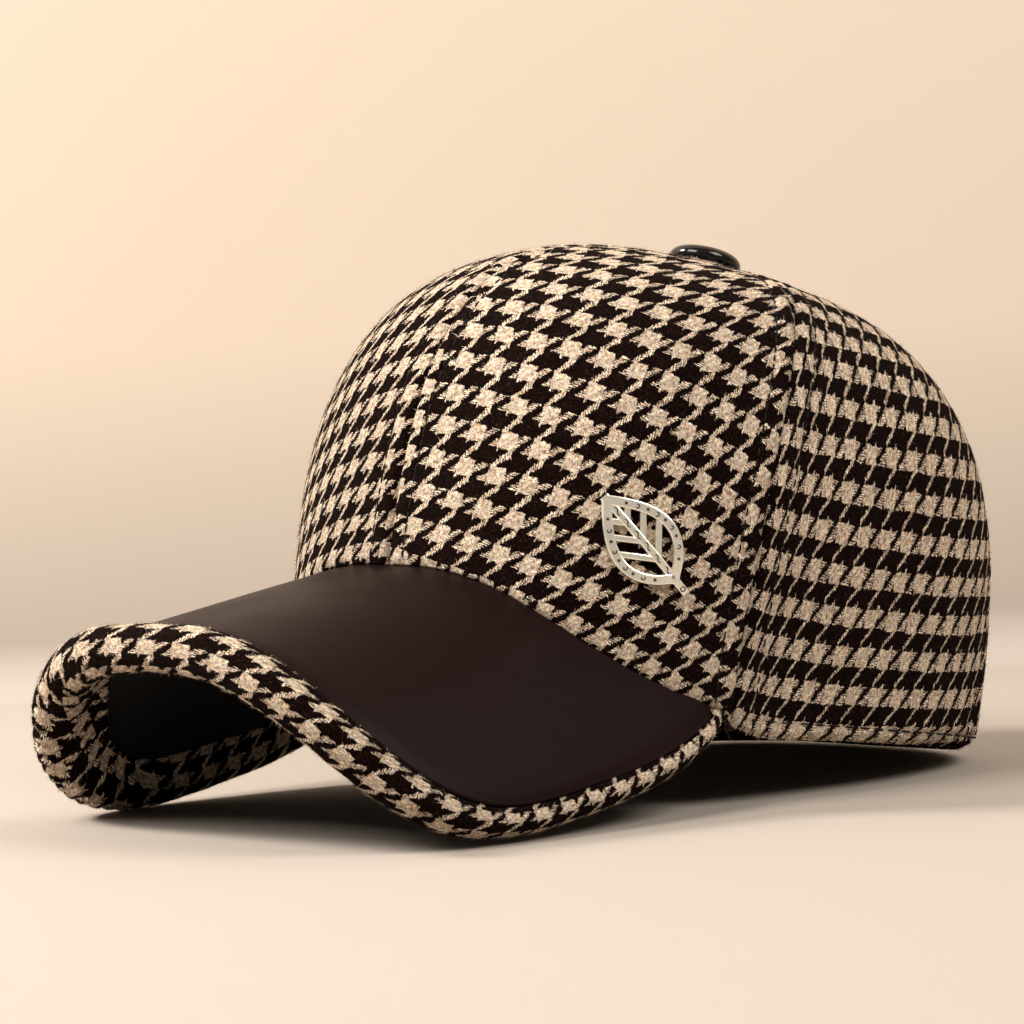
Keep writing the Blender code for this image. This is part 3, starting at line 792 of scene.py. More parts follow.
# ---------------------------------------------------------------- stitches
# length with the gap that follows, the gap, radius, and how far off the crown's surface
SEAM_THREAD = (STITCH_LENGTH, 0.7 * MM, 0.27 * MM, ALLOWANCE_SWELL * 0.5 - STITCH_DEPTH + 0.20 * MM)
HEM_THREAD = (HEM_STITCH_LENGTH, 1.3 * MM, 0.30 * MM, -0.42 * MM)
SEAM_STITCH_FOOT = 1.2 * MM      # no stitches lower than this above the visor,
HEM_STITCH_FOOT = 5.5 * MM       # lower than this above the floor,
BUTTON_ROOM = 15.0 * MM          # or nearer than this to the crown's top


def capsules(points, normals, length, gap, radius, lift):
    """Short threads laid along a line of points, as (vertices, faces)."""
    steps = running(norm(np.diff(points, axis=0)))
    stations = np.array((0.0, 0.12, 0.35, 0.65, 0.88, 1.0)) * (length - gap)
    widths = np.array((0.25, 0.80, 1.0, 1.0, 0.80, 0.25))[:, None, None]
    dips = np.array((1.0, 0.35, 0.0, 0.0, 0.35, 1.0))
    turn = circle(6)[:, None]

    def on_line(values, at):
        return np.stack([np.interp(at, steps, values[:, k]) for k in range(3)], axis=-1)
    start = 0.5 * gap
    while start + length < steps[-1]:
        centre, normal = on_line(points, start + stations), unit(on_line(normals, start + stations))
        along = unit(on_line(points, start + stations + 0.3 * MM) - centre)
        across = np.cross(along, normal)
        centre = centre + normal * (lift - dips * radius * 1.6)[:, None]
        ring = across[:, None] * np.cos(turn) + normal[:, None] * np.sin(turn)
        yield (centre[:, None] + ring * radius * widths).reshape(-1, 3), tube_faces(len(stations), len(turn))
        start += length


def both_sides(point, normal, *measures):
    """The threads along a line and along its mirror image."""
    for side in (1, -1):
        mirror = np.array([side, 1.0, 1.0])
        yield from capsules(point * mirror, normal * mirror, *measures)


def topstitch_line(seam, direction):
    """Points and normals of the line of stitches beside a seam."""
    height = np.sin(np.pi / 2.0 * (0.02 + 0.955 * np.linspace(0.0, 1.0, 240)))
    angle = seam_angle(seam, height)
    target = look_up(AROUND, angle, height) + direction * TOPSTITCH
    for _ in range(5):
        scale = norm(crown(angle + STEP, height) - crown(angle - STEP, height)) / (2.0 * STEP)
        angle = angle + (target - look_up(AROUND, angle, height)) / np.maximum(scale, 1e-4)
    point, normal = crown(angle, height), crown_normal(angle, height)
    lift = unevenness(point, look_up(AROUND, angle, height), look_up(UP, angle, height))
    point = point + normal * lift[:, None]
    if seam[0] <= VISOR_END + 4.0:
        clear = point[:, 2] - visor_height(point[:, 0], point[:, 1] - CENTRE_SHIFT) > SEAM_STITCH_FOOT
    else:
        clear = point[:, 2] > HEM_STITCH_FOOT
    keep = clear & (norm(point - CROWN_TOP) >= BUTTON_ROOM)
    return point[keep], normal[keep]


def add_crown_stitches():
    """A line of topstitching on each side of every seam, and one round the hem."""
    lines = ((FRONT_SEAM, 1), (SIDE_SEAM, -1), (SIDE_SEAM, 1), (REAR_SEAM, -1), (REAR_SEAM, 1), (BACK_SEAM, -1))
    threads = (both_sides(*topstitch_line(*line), *SEAM_THREAD) for line in lines)
    new_piece("seam_stitching", *merge(thread for line in threads for thread in line), THREAD, "black_cloth")
    angle = np.radians(np.linspace(VISOR_END + 5.0, 180.0, 400))
    target = look_up(UP, angle, hem_lift(np.degrees(angle))) + HEM_STITCH
    height = bisect(lambda value: look_up(UP, angle, value) < target,
                    np.zeros_like(angle), np.full_like(angle, 0.5))
    threads = both_sides(crown(angle, height), crown_normal(angle, height), *HEM_THREAD)
    new_piece("hem_stitching", *merge(threads), THREAD, "black_cloth")


# ---------------------------------------------------------------- visor
VISOR_COLUMNS = 176              # both are whole multiples of INNER_STEP
VISOR_ROWS = 72
SHEET_COVER = 0.25 * MM          # how far the sheets reach into the roll
EDGE_SAG = 0.45 * MM             # the leather dips beside the roll
LEATHER_WAVES = 0.10 * MM
MIDDLE_CREASE = 0.22 * MM        # and has a shallow crease at the middle of the front
UNDERSIDE_WAVES = 0.12 * MM


def visor_lattice(top_depth):
    """Plan positions of a visor sheet, rows from the crown outward; also how far each row is along."""
    share = np.linspace(-1.0, 1.0, VISOR_COLUMNS + 1)
    turn, degrees = share * RIM_LAST, share * (VISOR_END - 1.0)
    angle = np.radians(np.abs(degrees))
    height = junction_height(lambda _: angle, len(share), WALL)
    inner = crown(angle, height) - crown_normal(angle, height) * (WALL + TUCK)
    inner[:, 0] *= np.where(degrees < 0.0, -1.0, 1.0)
    inner[:, 1] -= CENTRE_SHIFT
    radius = rim_radius(turn)
    drop = np.minimum(RIM_SINK, radius) - top_depth - SHEET / 2.0
    reach = np.sqrt(np.maximum(radius ** 2 - drop ** 2, 0.0)) + SHEET_COVER
    outer = np.stack(visor_outline(turn), -1) + rim_frame(turn)[1][:, :2] * reach[:, None]
    part = np.linspace(0.0, 1.0, VISOR_ROWS + 1)[:, None]
    px, py = (inner[None, :, k] + (outer[:, k] - inner[:, k])[None] * part for k in (0, 1))
    return px, py, part


def visor_points(px, py, depth):
    surface = np.stack([px, py + CENTRE_SHIFT, visor_height(px, py)], axis=-1)
    return surface - visor_normal(px) * depth[..., None]


def add_visor_sheets():
    px, py, part = visor_lattice(0.0)
    weave = np.stack([px, py], -1)
    to_rim = norm(weave - weave[-1:])
    sag = EDGE_SAG * bump(to_rim, 2.4 * MM) + LEATHER_WAVES * smooth_noise(px / 0.028, py / 0.03, 2)
    sag += MIDDLE_CREASE * bump(px, 3.0 * MM) * bump(part - 0.05, 0.14)
    shell("visor_leather_sheet", visor_points(px, py, sag), visor_points(px, py, np.full_like(px, SHEET)), weave,
          LEATHER, "visor_leather", ["visor_top"], 0.9)
    px, py, _ = visor_lattice(SHEET + GAP)
    upper = np.full_like(px, SHEET + GAP)
    lower = upper + SHEET + UNDERSIDE_WAVES * smooth_noise(px / 0.012, py / 0.012, 12)
    shell("visor_underside_cloth", visor_points(px, py, lower), visor_points(px, py, upper), weave, BLACK_CLOTH,
          "black_cloth", ["visor_underside"], 0.9)


# ---------------------------------------------------------------- rim
RIM_STATIONS = 900
RIM_AROUND = 42                  # points round the roll
RIM_UNDER = 22                   # and on from it, under the visor
ROLL_STOP = math.radians(246.0)  # where the cloth leaves the roll; 180 is outward, 270 down
BAND_WIDTH = 10.0 * MM           # how far it runs on under the visor
BAND_THICKNESS = 0.9 * MM
END_SLIMMING = 0.40
SLIM_START = 60.0                # degrees round the visor
SLIM_EASE = 22.0
EDGE_DENT = 0.35 * MM            # where the roll meets the leather
RIM_DIMPLES = 0.30 * MM
FOLD_PITCH = 4.8 * MM
END_SHIFT = 1.3 * MM             # how far the pattern has crept round the roll at its left end
END_SHIFT_START = 55.0 * MM
END_SHIFT_EASE = 25.0 * MM
FOLD_DEPTH = 1.7 * MM
FOLD_CENTRE = 84.0 * MM          # the gathers lie at the visor's two front corners
FOLD_SPAN = 40.0 * MM
RIGHT_FOLD_START = 2.5 * MM      # and start this far round the roll from its top
LEFT_FOLD_START = 15.0 * MM
FOLD_EASE = 9.0 * MM
FOLD_SLANT = 0.50                # they lean towards the front as they run inward
FOLD_STRETCH = 0.8               # and the cloth is pulled long in them
RIM_TAIL = 12.0 * MM             # the ends of the rim run on under the hem
RIM_TAIL_TUCK = 7.5 * MM
RIM_TAIL_DROP = 1.6 * MM
RIM_TAIL_THINNING = 0.12


def rim_track(stations):
    """Turns at even steps along the roll, with the distance of each from the front."""
    last = RIM_LAST
    for _ in range(200):
        last += 0.002
        if abs(visor_outline(last)[1] - visor_outline(RIM_LAST)[1]) > RIM_TAIL:
            break
    fine = np.linspace(-last, last, 6001)
    middle = rim_frame(fine)[0]
    run = running(norm(np.diff(middle, axis=0)))
    run -= np.interp(0.0, fine, run)
    even = np.linspace(run[0], run[-1], stations + 1)
    beyond = np.maximum(np.abs(even) - np.interp(RIM_LAST, fine, run), 0.0) / RIM_TAIL
    return np.interp(even, run, fine), even, np.minimum(beyond, 1.0)


def gathering(run, wrap):
    """How near a place is to a gathered front corner, from 0 to 1, and how far inward of the gathers' start."""
    corner = np.exp(-((np.abs(run) - FOLD_CENTRE) / FOLD_SPAN) ** 4)
    return corner, wrap - np.where(run < 0.0, RIGHT_FOLD_START, LEFT_FOLD_START)


def rim_weave(run, wrap):
    """Thread counts along and round the rim: stretched round the front, drawn out in the gathers."""
    corner, past = gathering(run, wrap)
    inward = np.maximum(past, 0.0) * corner
    wrap = wrap - inward * FOLD_STRETCH / (1.0 + FOLD_STRETCH)
    run = run + np.sign(run) * FOLD_SLANT * inward
    wrap = wrap + END_SHIFT * clamp((run - END_SHIFT_START) / END_SHIFT_EASE)
    fine = np.linspace(run.min() - MM, run.max() + MM, 3000)
    stretch = 1.0 / (1.0 + np.exp((np.abs(fine - STRETCH_CENTRE) - STRETCH_REACH) / STRETCH_EASE))
    pitch = RIM_PITCH + (RIM_FRONT_PITCH - RIM_PITCH) * np.where(fine < STRETCH_END, stretch, 0.0)
    count = running(np.diff(fine) / pitch[1:])
    along = np.interp(run, fine, count) - np.interp(RIM_START, fine, count)
    return np.stack([along + 0.75, 1.88 - wrap / RIM_WRAP_PITCH], axis=-1) * THREADS


def rim_section(radius, sink):
    """Outline of the roll and of the band that runs on from it: (inward, up) from the roll's middle."""
    level = sink - 2.0 * SHEET - GAP - 0.15 * MM
    start = np.arcsin(np.clip(level / radius, -0.9, 0.9))[:, None]
    turn = start + (ROLL_STOP - start) * np.linspace(0.0, 1.0, RIM_AROUND)
    roll = np.stack([np.cos(turn), np.sin(turn)], -1) * radius[:, None, None]
    share = radius / RIM_FRONT_RADIUS
    band = BAND_WIDTH * share
    end = np.stack([radius + band, level - BAND_THICKNESS * share], -1)
    leave = np.array([-math.sin(ROLL_STOP), math.cos(ROLL_STOP)])
    bend = np.stack([0.7 * band, 0.0 * band], -1)
    knots = (roll[:, -1], roll[:, -1] + leave * 0.9 * radius[:, None], end - bend, end)
    t = np.linspace(0.0, 1.0, RIM_UNDER + 1)[1:, None]
    weights = ((1.0 - t) ** 3, 3.0 * (1.0 - t) ** 2 * t, 3.0 * (1.0 - t) * t ** 2, t ** 3)
    under = sum(weight[None] * knot[:, None] for weight, knot in zip(weights, knots))
    back = [np.stack([radius + band * part, level], -1)[:, None] for part in (1.0, 0.6, 0.25)]
    return np.concatenate([roll, under] + back, axis=1)


def fold_height(run, wrap, under):
    """Gathers on the underside of the tight front corners, and soft dimples all over."""
    corner, past = gathering(run, wrap)
    tight = corner * clamp(past / FOLD_EASE)
    slant = np.sign(run) * FOLD_SLANT * np.maximum(past, 0.0) * corner
    phase = (run + slant) / FOLD_PITCH + 0.85 * smooth_noise(run / (12.0 * MM), wrap / (40.0 * MM), 4)
    ridge = np.abs(np.sin(np.pi * phase)) ** 0.70
    size = 0.85 + 0.35 * smooth_noise(run / (8.0 * MM), np.full_like(run, 3.0), 6)
    folds = FOLD_DEPTH * (ridge - 1.0 + 0.8 * under) * tight * size
    dimples = smooth_noise(run / (5.5 * MM), wrap / (6.0 * MM), 9)
    soft = smooth_noise(run / (19.0 * MM), wrap / (15.0 * MM), 14)
    return folds + RIM_DIMPLES * (dimples + soft) * (1.0 - 0.8 * under)


def ease_in(share):
    return share * share * (3.0 - 2.0 * share)


def add_rim():
    turn, run, beyond = rim_track(RIM_STATIONS)
    middle, across, normal, _ = rim_frame(turn)
    radius = rim_radius(turn) * (1.0 - RIM_TAIL_THINNING * beyond)
    sink = np.minimum(RIM_SINK, rim_radius(turn))
    section = rim_section(radius, sink)
    stations, count = section.shape[:2]
    visible = RIM_AROUND + RIM_UNDER
    wrap = np.zeros((stations, count))
    wrap[:, 1:] = np.cumsum(norm(np.diff(section, axis=1)), axis=1)
    top = np.argmax(section[:, :RIM_AROUND, 1], axis=1)
    wrap -= wrap[np.arange(stations), top][:, None]
    tangent = unit(np.roll(section, -1, axis=1) - np.roll(section, 1, axis=1))
    outward = np.stack([tangent[..., 1], -tangent[..., 0]], -1)
    under = np.zeros_like(wrap)
    under[:, RIM_AROUND:visible] = np.linspace(0.0, 1.0, RIM_UNDER) ** 0.7
    height = fold_height(run[:, None] + 0.0 * wrap, wrap, under) * (radius / RIM_FRONT_RADIUS)[:, None]
    height -= EDGE_DENT * bump(wrap + 1.2 * MM, 1.1 * MM)
    height[:, visible:] = 0.0
    section = section + outward * height[..., None]
    # the roll is slimmer outside the edge towards its left end
    slim = END_SLIMMING * ease_in(clamp((np.degrees(turn) - SLIM_START) / SLIM_EASE))
    section[..., 0] -= slim[:, None] * np.minimum(section[..., 0], 0.0)
    # outside the edge a point stands off straight; inside it follows the sheet
    inward, up = section[..., 0], section[..., 1]
    straight = middle[:, None] + across[:, None] * inward[..., None] + normal[:, None] * up[..., None]
    x, y = (start[:, None] + across[:, None, k] * inward for k, start in enumerate(visor_outline(turn)))
    points = np.where((inward > 0.0)[..., None], visor_points(x, y, sink[:, None] - up), straight)
    points = points + across[:, None] * (RIM_TAIL_TUCK * ease_in(beyond))[:, None, None]
    points[..., 2] -= (RIM_TAIL_DROP * ease_in(beyond))[:, None]
    faces = tube_faces(stations, count)
    faces[-2:] = [face[::-1] for face in faces[-2:]]
    i, k = np.divmod(np.arange((stations - 1) * count), count)
    i, k = (np.stack(corners, -1).ravel() for corners in ((i, i, i + 1, i + 1), (k, k + 1, k + 1, k)))
    places = [np.stack([run[i], wrap[i, k % count]], -1)]
    places += [np.stack([np.full(count, run[end]), wrap[end]], -1) for end in (0, -1)]
    # the long strip is folded into four rows of the bake map
    quarter = (stations - 1) / 4.0
    row = np.repeat(np.floor(np.minimum(i[::4], stations - 2) / quarter), 4)
    along = 0.01 + 0.94 * (i - row * quarter) / (quarter + 4.0)
    bake = [np.stack([along, 0.01 + row * 0.248 + 0.235 * k / count], -1)]
    spot = circle(count)
    bake += [np.stack([0.975 + 0.01 * np.cos(spot), at + 0.01 * np.sin(spot)], -1) for at in (0.3, 0.7)]
    made = new_piece("padded_rim", points.reshape(-1, 3), faces, WOOL, "rim_cloth", ["visor_rim"],
                     {"weave": rim_weave(*np.concatenate(places).T), "OFBake": np.concatenate(bake)})
    return made


# ---------------------------------------------------------------- wool fibres
FIBRE_LENGTH = (0.5 * MM, 1.6 * MM)
FIBRE_SLOPE = (0.10, 0.75)       # how steeply they stand off
FIBRE_RADIUS = 0.05 * MM
FIBRE_ROOT = 0.10 * MM
PANEL_FIBRES = 9000              # on each panel, away from this place inside the crown
CROWN_MIDDLE = np.array([0.0, CENTRE_SHIFT, 30.0 * MM])
PANEL_SEED = 20                  # and one more for each panel
RIM_FIBRES = 30000
RIM_SEED = 30


def read_all(items, name, width, kind=float):
    values = np.zeros(len(items) * width, kind)
    items.foreach_get(name, values)
    return values.reshape(-1, width)


def add_fibres(name, made, count, seed, middle=None):
    """Loose fibres of the nap: thin spikes rooted on a piece's faces, each in the colour of its root.

    Where a middle is given, only the faces that look away from it bear fibres.
    """
    chance = np.random.default_rng(seed)
    mesh = made.data
    mesh.calc_loop_triangles()
    triangles = read_all(mesh.loop_triangles, "vertices", 3, int)
    loops = read_all(mesh.loop_triangles, "loops", 3, int)
    points = read_all(mesh.vertices, "co", 3)
    places = read_all(mesh.uv_layers["weave"].data, "uv", 2)
    a, b, c = (points[triangles[:, k]] for k in range(3))
    facing = np.cross(b - a, c - a)
    area = norm(facing)
    if middle is not None:
        area = area * (np.sum(((a + b + c) / 3.0 - middle) * facing, axis=1) > 0.0)
    picked = chance.choice(len(area), count, p=area / area.sum())
    s, t = chance.random((2, count))
    flip = s + t > 1.0
    s, t = np.where(flip, 1.0 - s, s), np.where(flip, 1.0 - t, t)
    weights = np.stack([1.0 - s - t, s, t], -1)
    foot, place = (np.einsum("nk,nkd->nd", weights, values)
                   for values in (points[triangles[picked]], places[loops[picked]]))
    normal = unit(facing[picked])
    lean = unit(np.cross(normal, chance.normal(size=(count, 3))))
    slope = chance.uniform(*FIBRE_SLOPE, count)[:, None]
    length = chance.uniform(*FIBRE_LENGTH, count)[:, None]
    tip = foot + (normal * slope + lean * np.sqrt(1.0 - slope ** 2)) * length
    bend = unit(np.cross(tip - foot, normal))
    ring = [foot - normal * FIBRE_ROOT + (bend * math.cos(turn) + lean * math.sin(turn)) * FIBRE_RADIUS
            for turn in circle(3)]
    verts = np.stack(ring + [tip], axis=1)
    base = 4 * np.arange(count)[:, None, None]
    faces = (base + np.array(((0, 2, 1), (0, 1, 3), (1, 2, 3), (2, 0, 3)))).reshape(-1, 3)
    side = int(math.ceil(math.sqrt(count)))
    cell = np.stack([np.arange(count) % side, np.arange(count) // side], -1) / side
    corner = np.array([(0.2, 0.2), (0.8, 0.2), (0.5, 0.8)]) / side
    bake = np.repeat((cell[:, None] + corner[None])[:, None], 4, axis=1).reshape(-1, 2)
    slot = "wool_cloth" if middle is not None else "rim_cloth"
    new_piece(name, verts.reshape(-1, 3), faces.tolist(), mesh.materials[0], slot, (),
              {"weave": np.repeat(place, 12, axis=0), "OFBake": bake}, outward=False)


# ---------------------------------------------------------------- button and pin
BUTTON_RADIUS = 10.2 * MM
BUTTON_HEIGHT = 4.9 * MM
BUTTON_EDGE = 3.0 * MM
BUTTON_FOOT = 1.6 * MM           # its underside ends this far inside the edge, which curves in by
BUTTON_CURVE = 1.3 * MM
DOME_POWERS = (0.52, 0.95)       # across and up
POST_RADIUS = 2.2 * MM
POST_DEPTH = 3.4 * MM
BUTTON_SIDES = 96

PIN_ANGLE = 51.5
PIN_HEIGHT = 0.343
PIN_TURN = math.radians(-38.0)
PIN_LENGTH = 31.0 * MM
PIN_WIDTH = 19.0 * MM
PIN_BAND = 2.6 * MM
PIN_MIDRIB = 2.2 * MM
PIN_VEIN = 1.7 * MM
PIN_THICKNESS = 1.4 * MM
PIN_GAP = 0.4 * MM
PIN_VEIN_STATIONS = (0.26, 0.46, 0.66)
PIN_VEIN_SLANT = math.radians(42.0)
PIN_BEVEL = 0.32 * MM


def add_button():
    """A glossy dome with a rounded edge, on the post that holds it."""
    top = Vector(CROWN_TOP)
    angles = np.radians(np.arange(-180.0, 180.0, 15.0))

    def ring_points(radius):
        height = bisect(lambda value: norm(crown(angles, value) - CROWN_TOP) > radius,
                        np.full(24, 0.5), np.ones(24))
        return [Vector(point) for point in crown(angles, height)]

    ring = ring_points(BUTTON_RADIUS)
    normal = (ring[0] - ring[12]).cross(ring[18] - ring[6]).normalized()
    normal *= math.copysign(1.0, normal.z)

    def clear(radius):
        return max((point - top).dot(normal) for point in ring_points(radius)) + GAP

    rest = clear(BUTTON_RADIUS)
    outline = [(0.0, -POST_DEPTH), (POST_RADIUS, -POST_DEPTH), (POST_RADIUS, GAP)]
    outline += [(share * BUTTON_RADIUS, clear(share * BUTTON_RADIUS)) for share in (0.4, 0.6, 0.8)]
    outline += [(BUTTON_RADIUS - BUTTON_FOOT, rest)]
    for turn in (math.radians(-90.0 + 90.0 * step / 8) for step in range(1, 9)):
        outline.append((BUTTON_RADIUS - BUTTON_CURVE * (1.0 - math.cos(turn)),
                        rest + BUTTON_EDGE * 0.5 * (1.0 + math.sin(turn))))
    middle = BUTTON_EDGE * 0.5
    for turn in (math.pi / 2.0 * step / 24 for step in range(1, 24)):
        outline.append((BUTTON_RADIUS * math.cos(turn) ** DOME_POWERS[0],
                        rest + middle + (BUTTON_HEIGHT - middle) * math.sin(turn) ** DOME_POWERS[1]))
    outline.append((0.0, rest + BUTTON_HEIGHT))
    upright = Vector((0.0, 0.0, 1.0)).rotation_difference(normal).to_matrix()
    turns = circle(BUTTON_SIDES)
    points = [top + upright @ Vector((radius * math.cos(turn), radius * math.sin(turn), height))
              for radius, height in outline for turn in (turns if radius > 0.0 else [0.0])]
    faces = []
    for i in range(len(outline) - 1):
        for k in range(BUTTON_SIDES):
            m = (k + 1) % BUTTON_SIDES
            low, high = 1 + (i - 1) * BUTTON_SIDES, 1 + i * BUTTON_SIDES
            if i == 0:
                faces.append([0, high + m, high + k])
            elif i == len(outline) - 2:
                faces.append([low + k, low + m, len(points) - 1])
            else:
                faces.append([low + k, low + m, high + m, high + k])
    new_piece("button_dome", points, faces, GLOSS, "button_gloss", ["top_button"])


def leaf_edge(share):
    """Half the leaf's width at a share of its length."""
    return PIN_WIDTH / 2.0 * math.sin(math.pi * share ** 0.8) ** 0.9


def band_middle(share, side):
    """A place on the middle of the leaf's edge band."""
    inset = PIN_BAND / 2.0
    return share * (PIN_LENGTH - PIN_BAND) - PIN_LENGTH / 2.0 + inset, side * max(leaf_edge(share) - inset, 0.0)


def sweep(points, profile, lift, end=1.0):
    """A bar along a line in the leaf's plane, with a profile of (sideways, up), smaller at its ends."""
    verts = []
    for index, (x, y) in enumerate(points):
        before, after = points[max(index - 1, 0)], points[min(index + 1, len(points) - 1)]
        along = Vector((after[0] - before[0], after[1] - before[1])).normalized()
        size = end if index in (0, len(points) - 1) else 1.0
        for offset, height in profile:
            verts.append((x - along.y * offset * size, y + along.x * offset * size, lift + height * size))
    return verts, tube_faces(len(points), len(profile))


def bevelled_bar(points, width, thickness, lift):
    """A flat bar with bevelled upper edges."""
    half, bevel, short = width / 2.0, PIN_BEVEL, 0.3 * PIN_BEVEL
    left = [(-half, 0.0), (-half, thickness - bevel), (-half + short, thickness - short),
            (-half + bevel, thickness)]
    return sweep(points, left + [(-offset, height) for offset, height in left[::-1]], lift)


def flat_tube(points, radius, lift):
    """A thin line of oval section with rounded ends."""
    profile = [(radius * math.cos(turn), 0.35 * radius * math.sin(turn)) for turn in circle(8)]
    return sweep(points, profile, lift, 0.35)


def leaf_bars():
    """Edge band, midrib and veins of the leaf."""
    steps = 28
    half = PIN_LENGTH / 2.0
    for side in (1, -1):
        edge = [band_middle(step / steps, side) for step in range(steps + 1)]
        yield bevelled_bar(edge, PIN_BAND, PIN_THICKNESS, 0.0)
    rib = [(-half - 3.5 * MM + step * (PIN_LENGTH + 1.0 * MM) / steps, 0.0) for step in range(steps + 1)]
    yield bevelled_bar(rib, PIN_MIDRIB, PIN_THICKNESS - 0.2 * MM, 0.05 * MM)
    slope = math.tan(PIN_VEIN_SLANT)
    for number, station in enumerate(PIN_VEIN_STATIONS):
        for side in (1, -1):
            reach = 0.0
            share = station
            while share <= 0.97 and reach * slope <= leaf_edge(share) - PIN_BAND / 2.0:
                reach += 0.2 * MM
                share = station + reach / PIN_LENGTH
            vein = [(station * PIN_LENGTH - half + reach * part / 8.0, side * slope * reach * part / 8.0)
                    for part in range(9)]
            thickness = PIN_THICKNESS - (0.3 + 0.02 * number) * MM
            yield bevelled_bar(vein, PIN_VEIN, thickness, (0.08 + 0.02 * side) * MM)


def leaf_marks():
    """Enamelled dots and curls along the edge band, small waves on the midrib and a ring at the stem."""
    lift = PIN_THICKNESS + 0.03 * MM
    for side in (1, -1):
        for number in range(9):
            x, y = band_middle(0.12 + 0.088 * number, side)
            if number % 2:
                turns = [(math.pi * 1.5 * step / 10, (0.28 + 0.42 * step / 10) * MM) for step in range(11)]
                curl = [(x + size * math.cos(turn), y + side * size * math.sin(turn)) for turn, size in turns]
                yield flat_tube(curl, 0.17 * MM, lift)
            else:
                yield flat_tube([(x + offset * MM, y) for offset in (-0.42, -0.2, 0.2, 0.42)], 0.40 * MM, lift)
    lift = PIN_THICKNESS - 0.12 * MM
    for number in range(6):
        x = (0.14 + 0.13 * number - 0.5) * PIN_LENGTH
        wave = [(x + (step / 10 - 0.5) * 2.6 * MM, 0.42 * MM * math.sin(2.0 * math.pi * step / 10))
                for step in range(11)]
        yield flat_tube(wave, 0.15 * MM, lift)
    x, size = -PIN_LENGTH / 2.0 - 2.0 * MM, 0.62 * MM
    ring = [(x + size * math.cos(math.pi * step / 8), size * math.sin(math.pi * step / 8)) for step in range(17)]
    yield flat_tube(ring, 0.17 * MM, lift)


def add_pin():
    """The leaf, bent to the panel it is pinned on."""
    body = bmesh.new()
    body.from_mesh(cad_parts["front_left_panel"].data)
    tree = BVHTree.FromBMesh(body)
    body.free()
    angle, height = np.full(1, math.radians(PIN_ANGLE)), np.full(1, PIN_HEIGHT)
    middle, normal = Vector(crown(angle, height)[0]), Vector(crown_normal(angle, height)[0])
    sideways = Vector((0.0, 0.0, 1.0)).cross(normal).normalized()
    leafwise = normal.cross(sideways) * math.cos(PIN_TURN) + sideways * math.sin(PIN_TURN)
    across = normal.cross(leafwise)

    def bent(parts):
        verts, faces = merge(parts)
        starts = [middle + leafwise * x + across * y + normal * 20.0 * MM for x, y, _ in verts]
        return [tree.ray_cast(start, -normal)[0] + normal * (PIN_GAP + vert[2])
                for start, vert in zip(starts, verts)], faces
    leaf = new_piece("leaf_frame", *bent(leaf_bars()), GOLD, "pale_gold", ["leaf_pin"])
    leaf.data.shade_flat()
    new_piece("leaf_enamel", *bent(leaf_marks()), ENAMEL, "black_cloth")


# ---------------------------------------------------------------- camera, stage and lights
CAMERA_AZIMUTH = 46.25
CAMERA_ELEVATION = 3.04
CAMERA_ROLL = -2.16
CAMERA_LENS = 173.6
CAMERA_DISTANCE = 1300.0 * MM
CAMERA_TARGET = Vector((27.9 * MM, -31.56 * MM, 79.4 * MM))


def view_axes():
    a, e = math.radians(CAMERA_AZIMUTH), math.radians(CAMERA_ELEVATION)
    back = Vector((math.sin(a) * math.cos(e), -math.cos(a) * math.cos(e), math.sin(e)))
    right = Vector((math.cos(a), math.sin(a), 0.0))
    return back, right, back.cross(right)


def level_axes():
    """Level directions from the cap: towards the camera, and to the picture's right."""
    back, right, _ = view_axes()
    return Vector((back.x, back.y, 0.0)).normalized(), right


def add_camera():
    back, right, up = view_axes()
    roll = math.radians(CAMERA_ROLL)
    right, up = right * math.cos(roll) + up * math.sin(roll), up * math.cos(roll) - right * math.sin(roll)
    data = bpy.data.cameras.new("camera")
    data.lens, data.sensor_width = CAMERA_LENS, 36.0
    data.clip_start, data.clip_end = 0.05, 20.0
    made = bpy.data.objects.new("camera", data)
    matrix = Matrix((right, up, back)).transposed().to_4x4()
    matrix.translation = CAMERA_TARGET + back * CAMERA_DISTANCE
    made.matrix_world = matrix
    bpy.context.collection.objects.link(made)
    bpy.context.scene.camera = made


def add_area(name, offset, size, power):
    """offset is (right, towards the camera, up) from the cap, in metres."""
    near, right = level_axes()
    place = right * offset[0] + near * offset[1] + Vector((0.0, 0.0, offset[2]))
    light = bpy.data.lights.new(name, "AREA")
    light.shape, light.size, light.size_y = "RECTANGLE", size, size
    light.energy, light.color = power, LIGHT_COLOR
    made = bpy.data.objects.new(name, light)
    made.location = place
    made.rotation_mode = "QUATERNION"
    made.rotation_quaternion = (LIGHT_AIM - place).to_track_quat("-Z", "Y")
    bpy.context.collection.objects.link(made)


FLOOR_COLOR = (0.365, 0.322, 0.280, 1.0)
BACKDROP_COLOR = (0.600, 0.505, 0.415, 1.0)
BACKDROP_BLEND = 0.12            # the height over which one turns into the other
BACKDROP_PLACE = 0.33            # behind the cap
STAGE_CURVE = 0.02
STAGE_SIZE = 3.0
STAGE_HALF_WIDTH = 4.0
WORLD_COLOR = (1.0, 0.93, 0.84, 1.0)
WORLD_STRENGTH = 0.15
LIGHT_COLOR = (1.0, 0.95, 0.89)
LIGHT_AIM = Vector((0.0, 0.0, 60.0 * MM))
LIGHTS = {                       # offset, size and power
    "key": ((-1.20, -0.10, 1.00), 0.32, 34.0),
    "front": ((-0.90, 0.75, 1.25), 0.8, 27.0),
    "right": ((1.05, 0.75, 1.30), 0.9, 26.0),
}


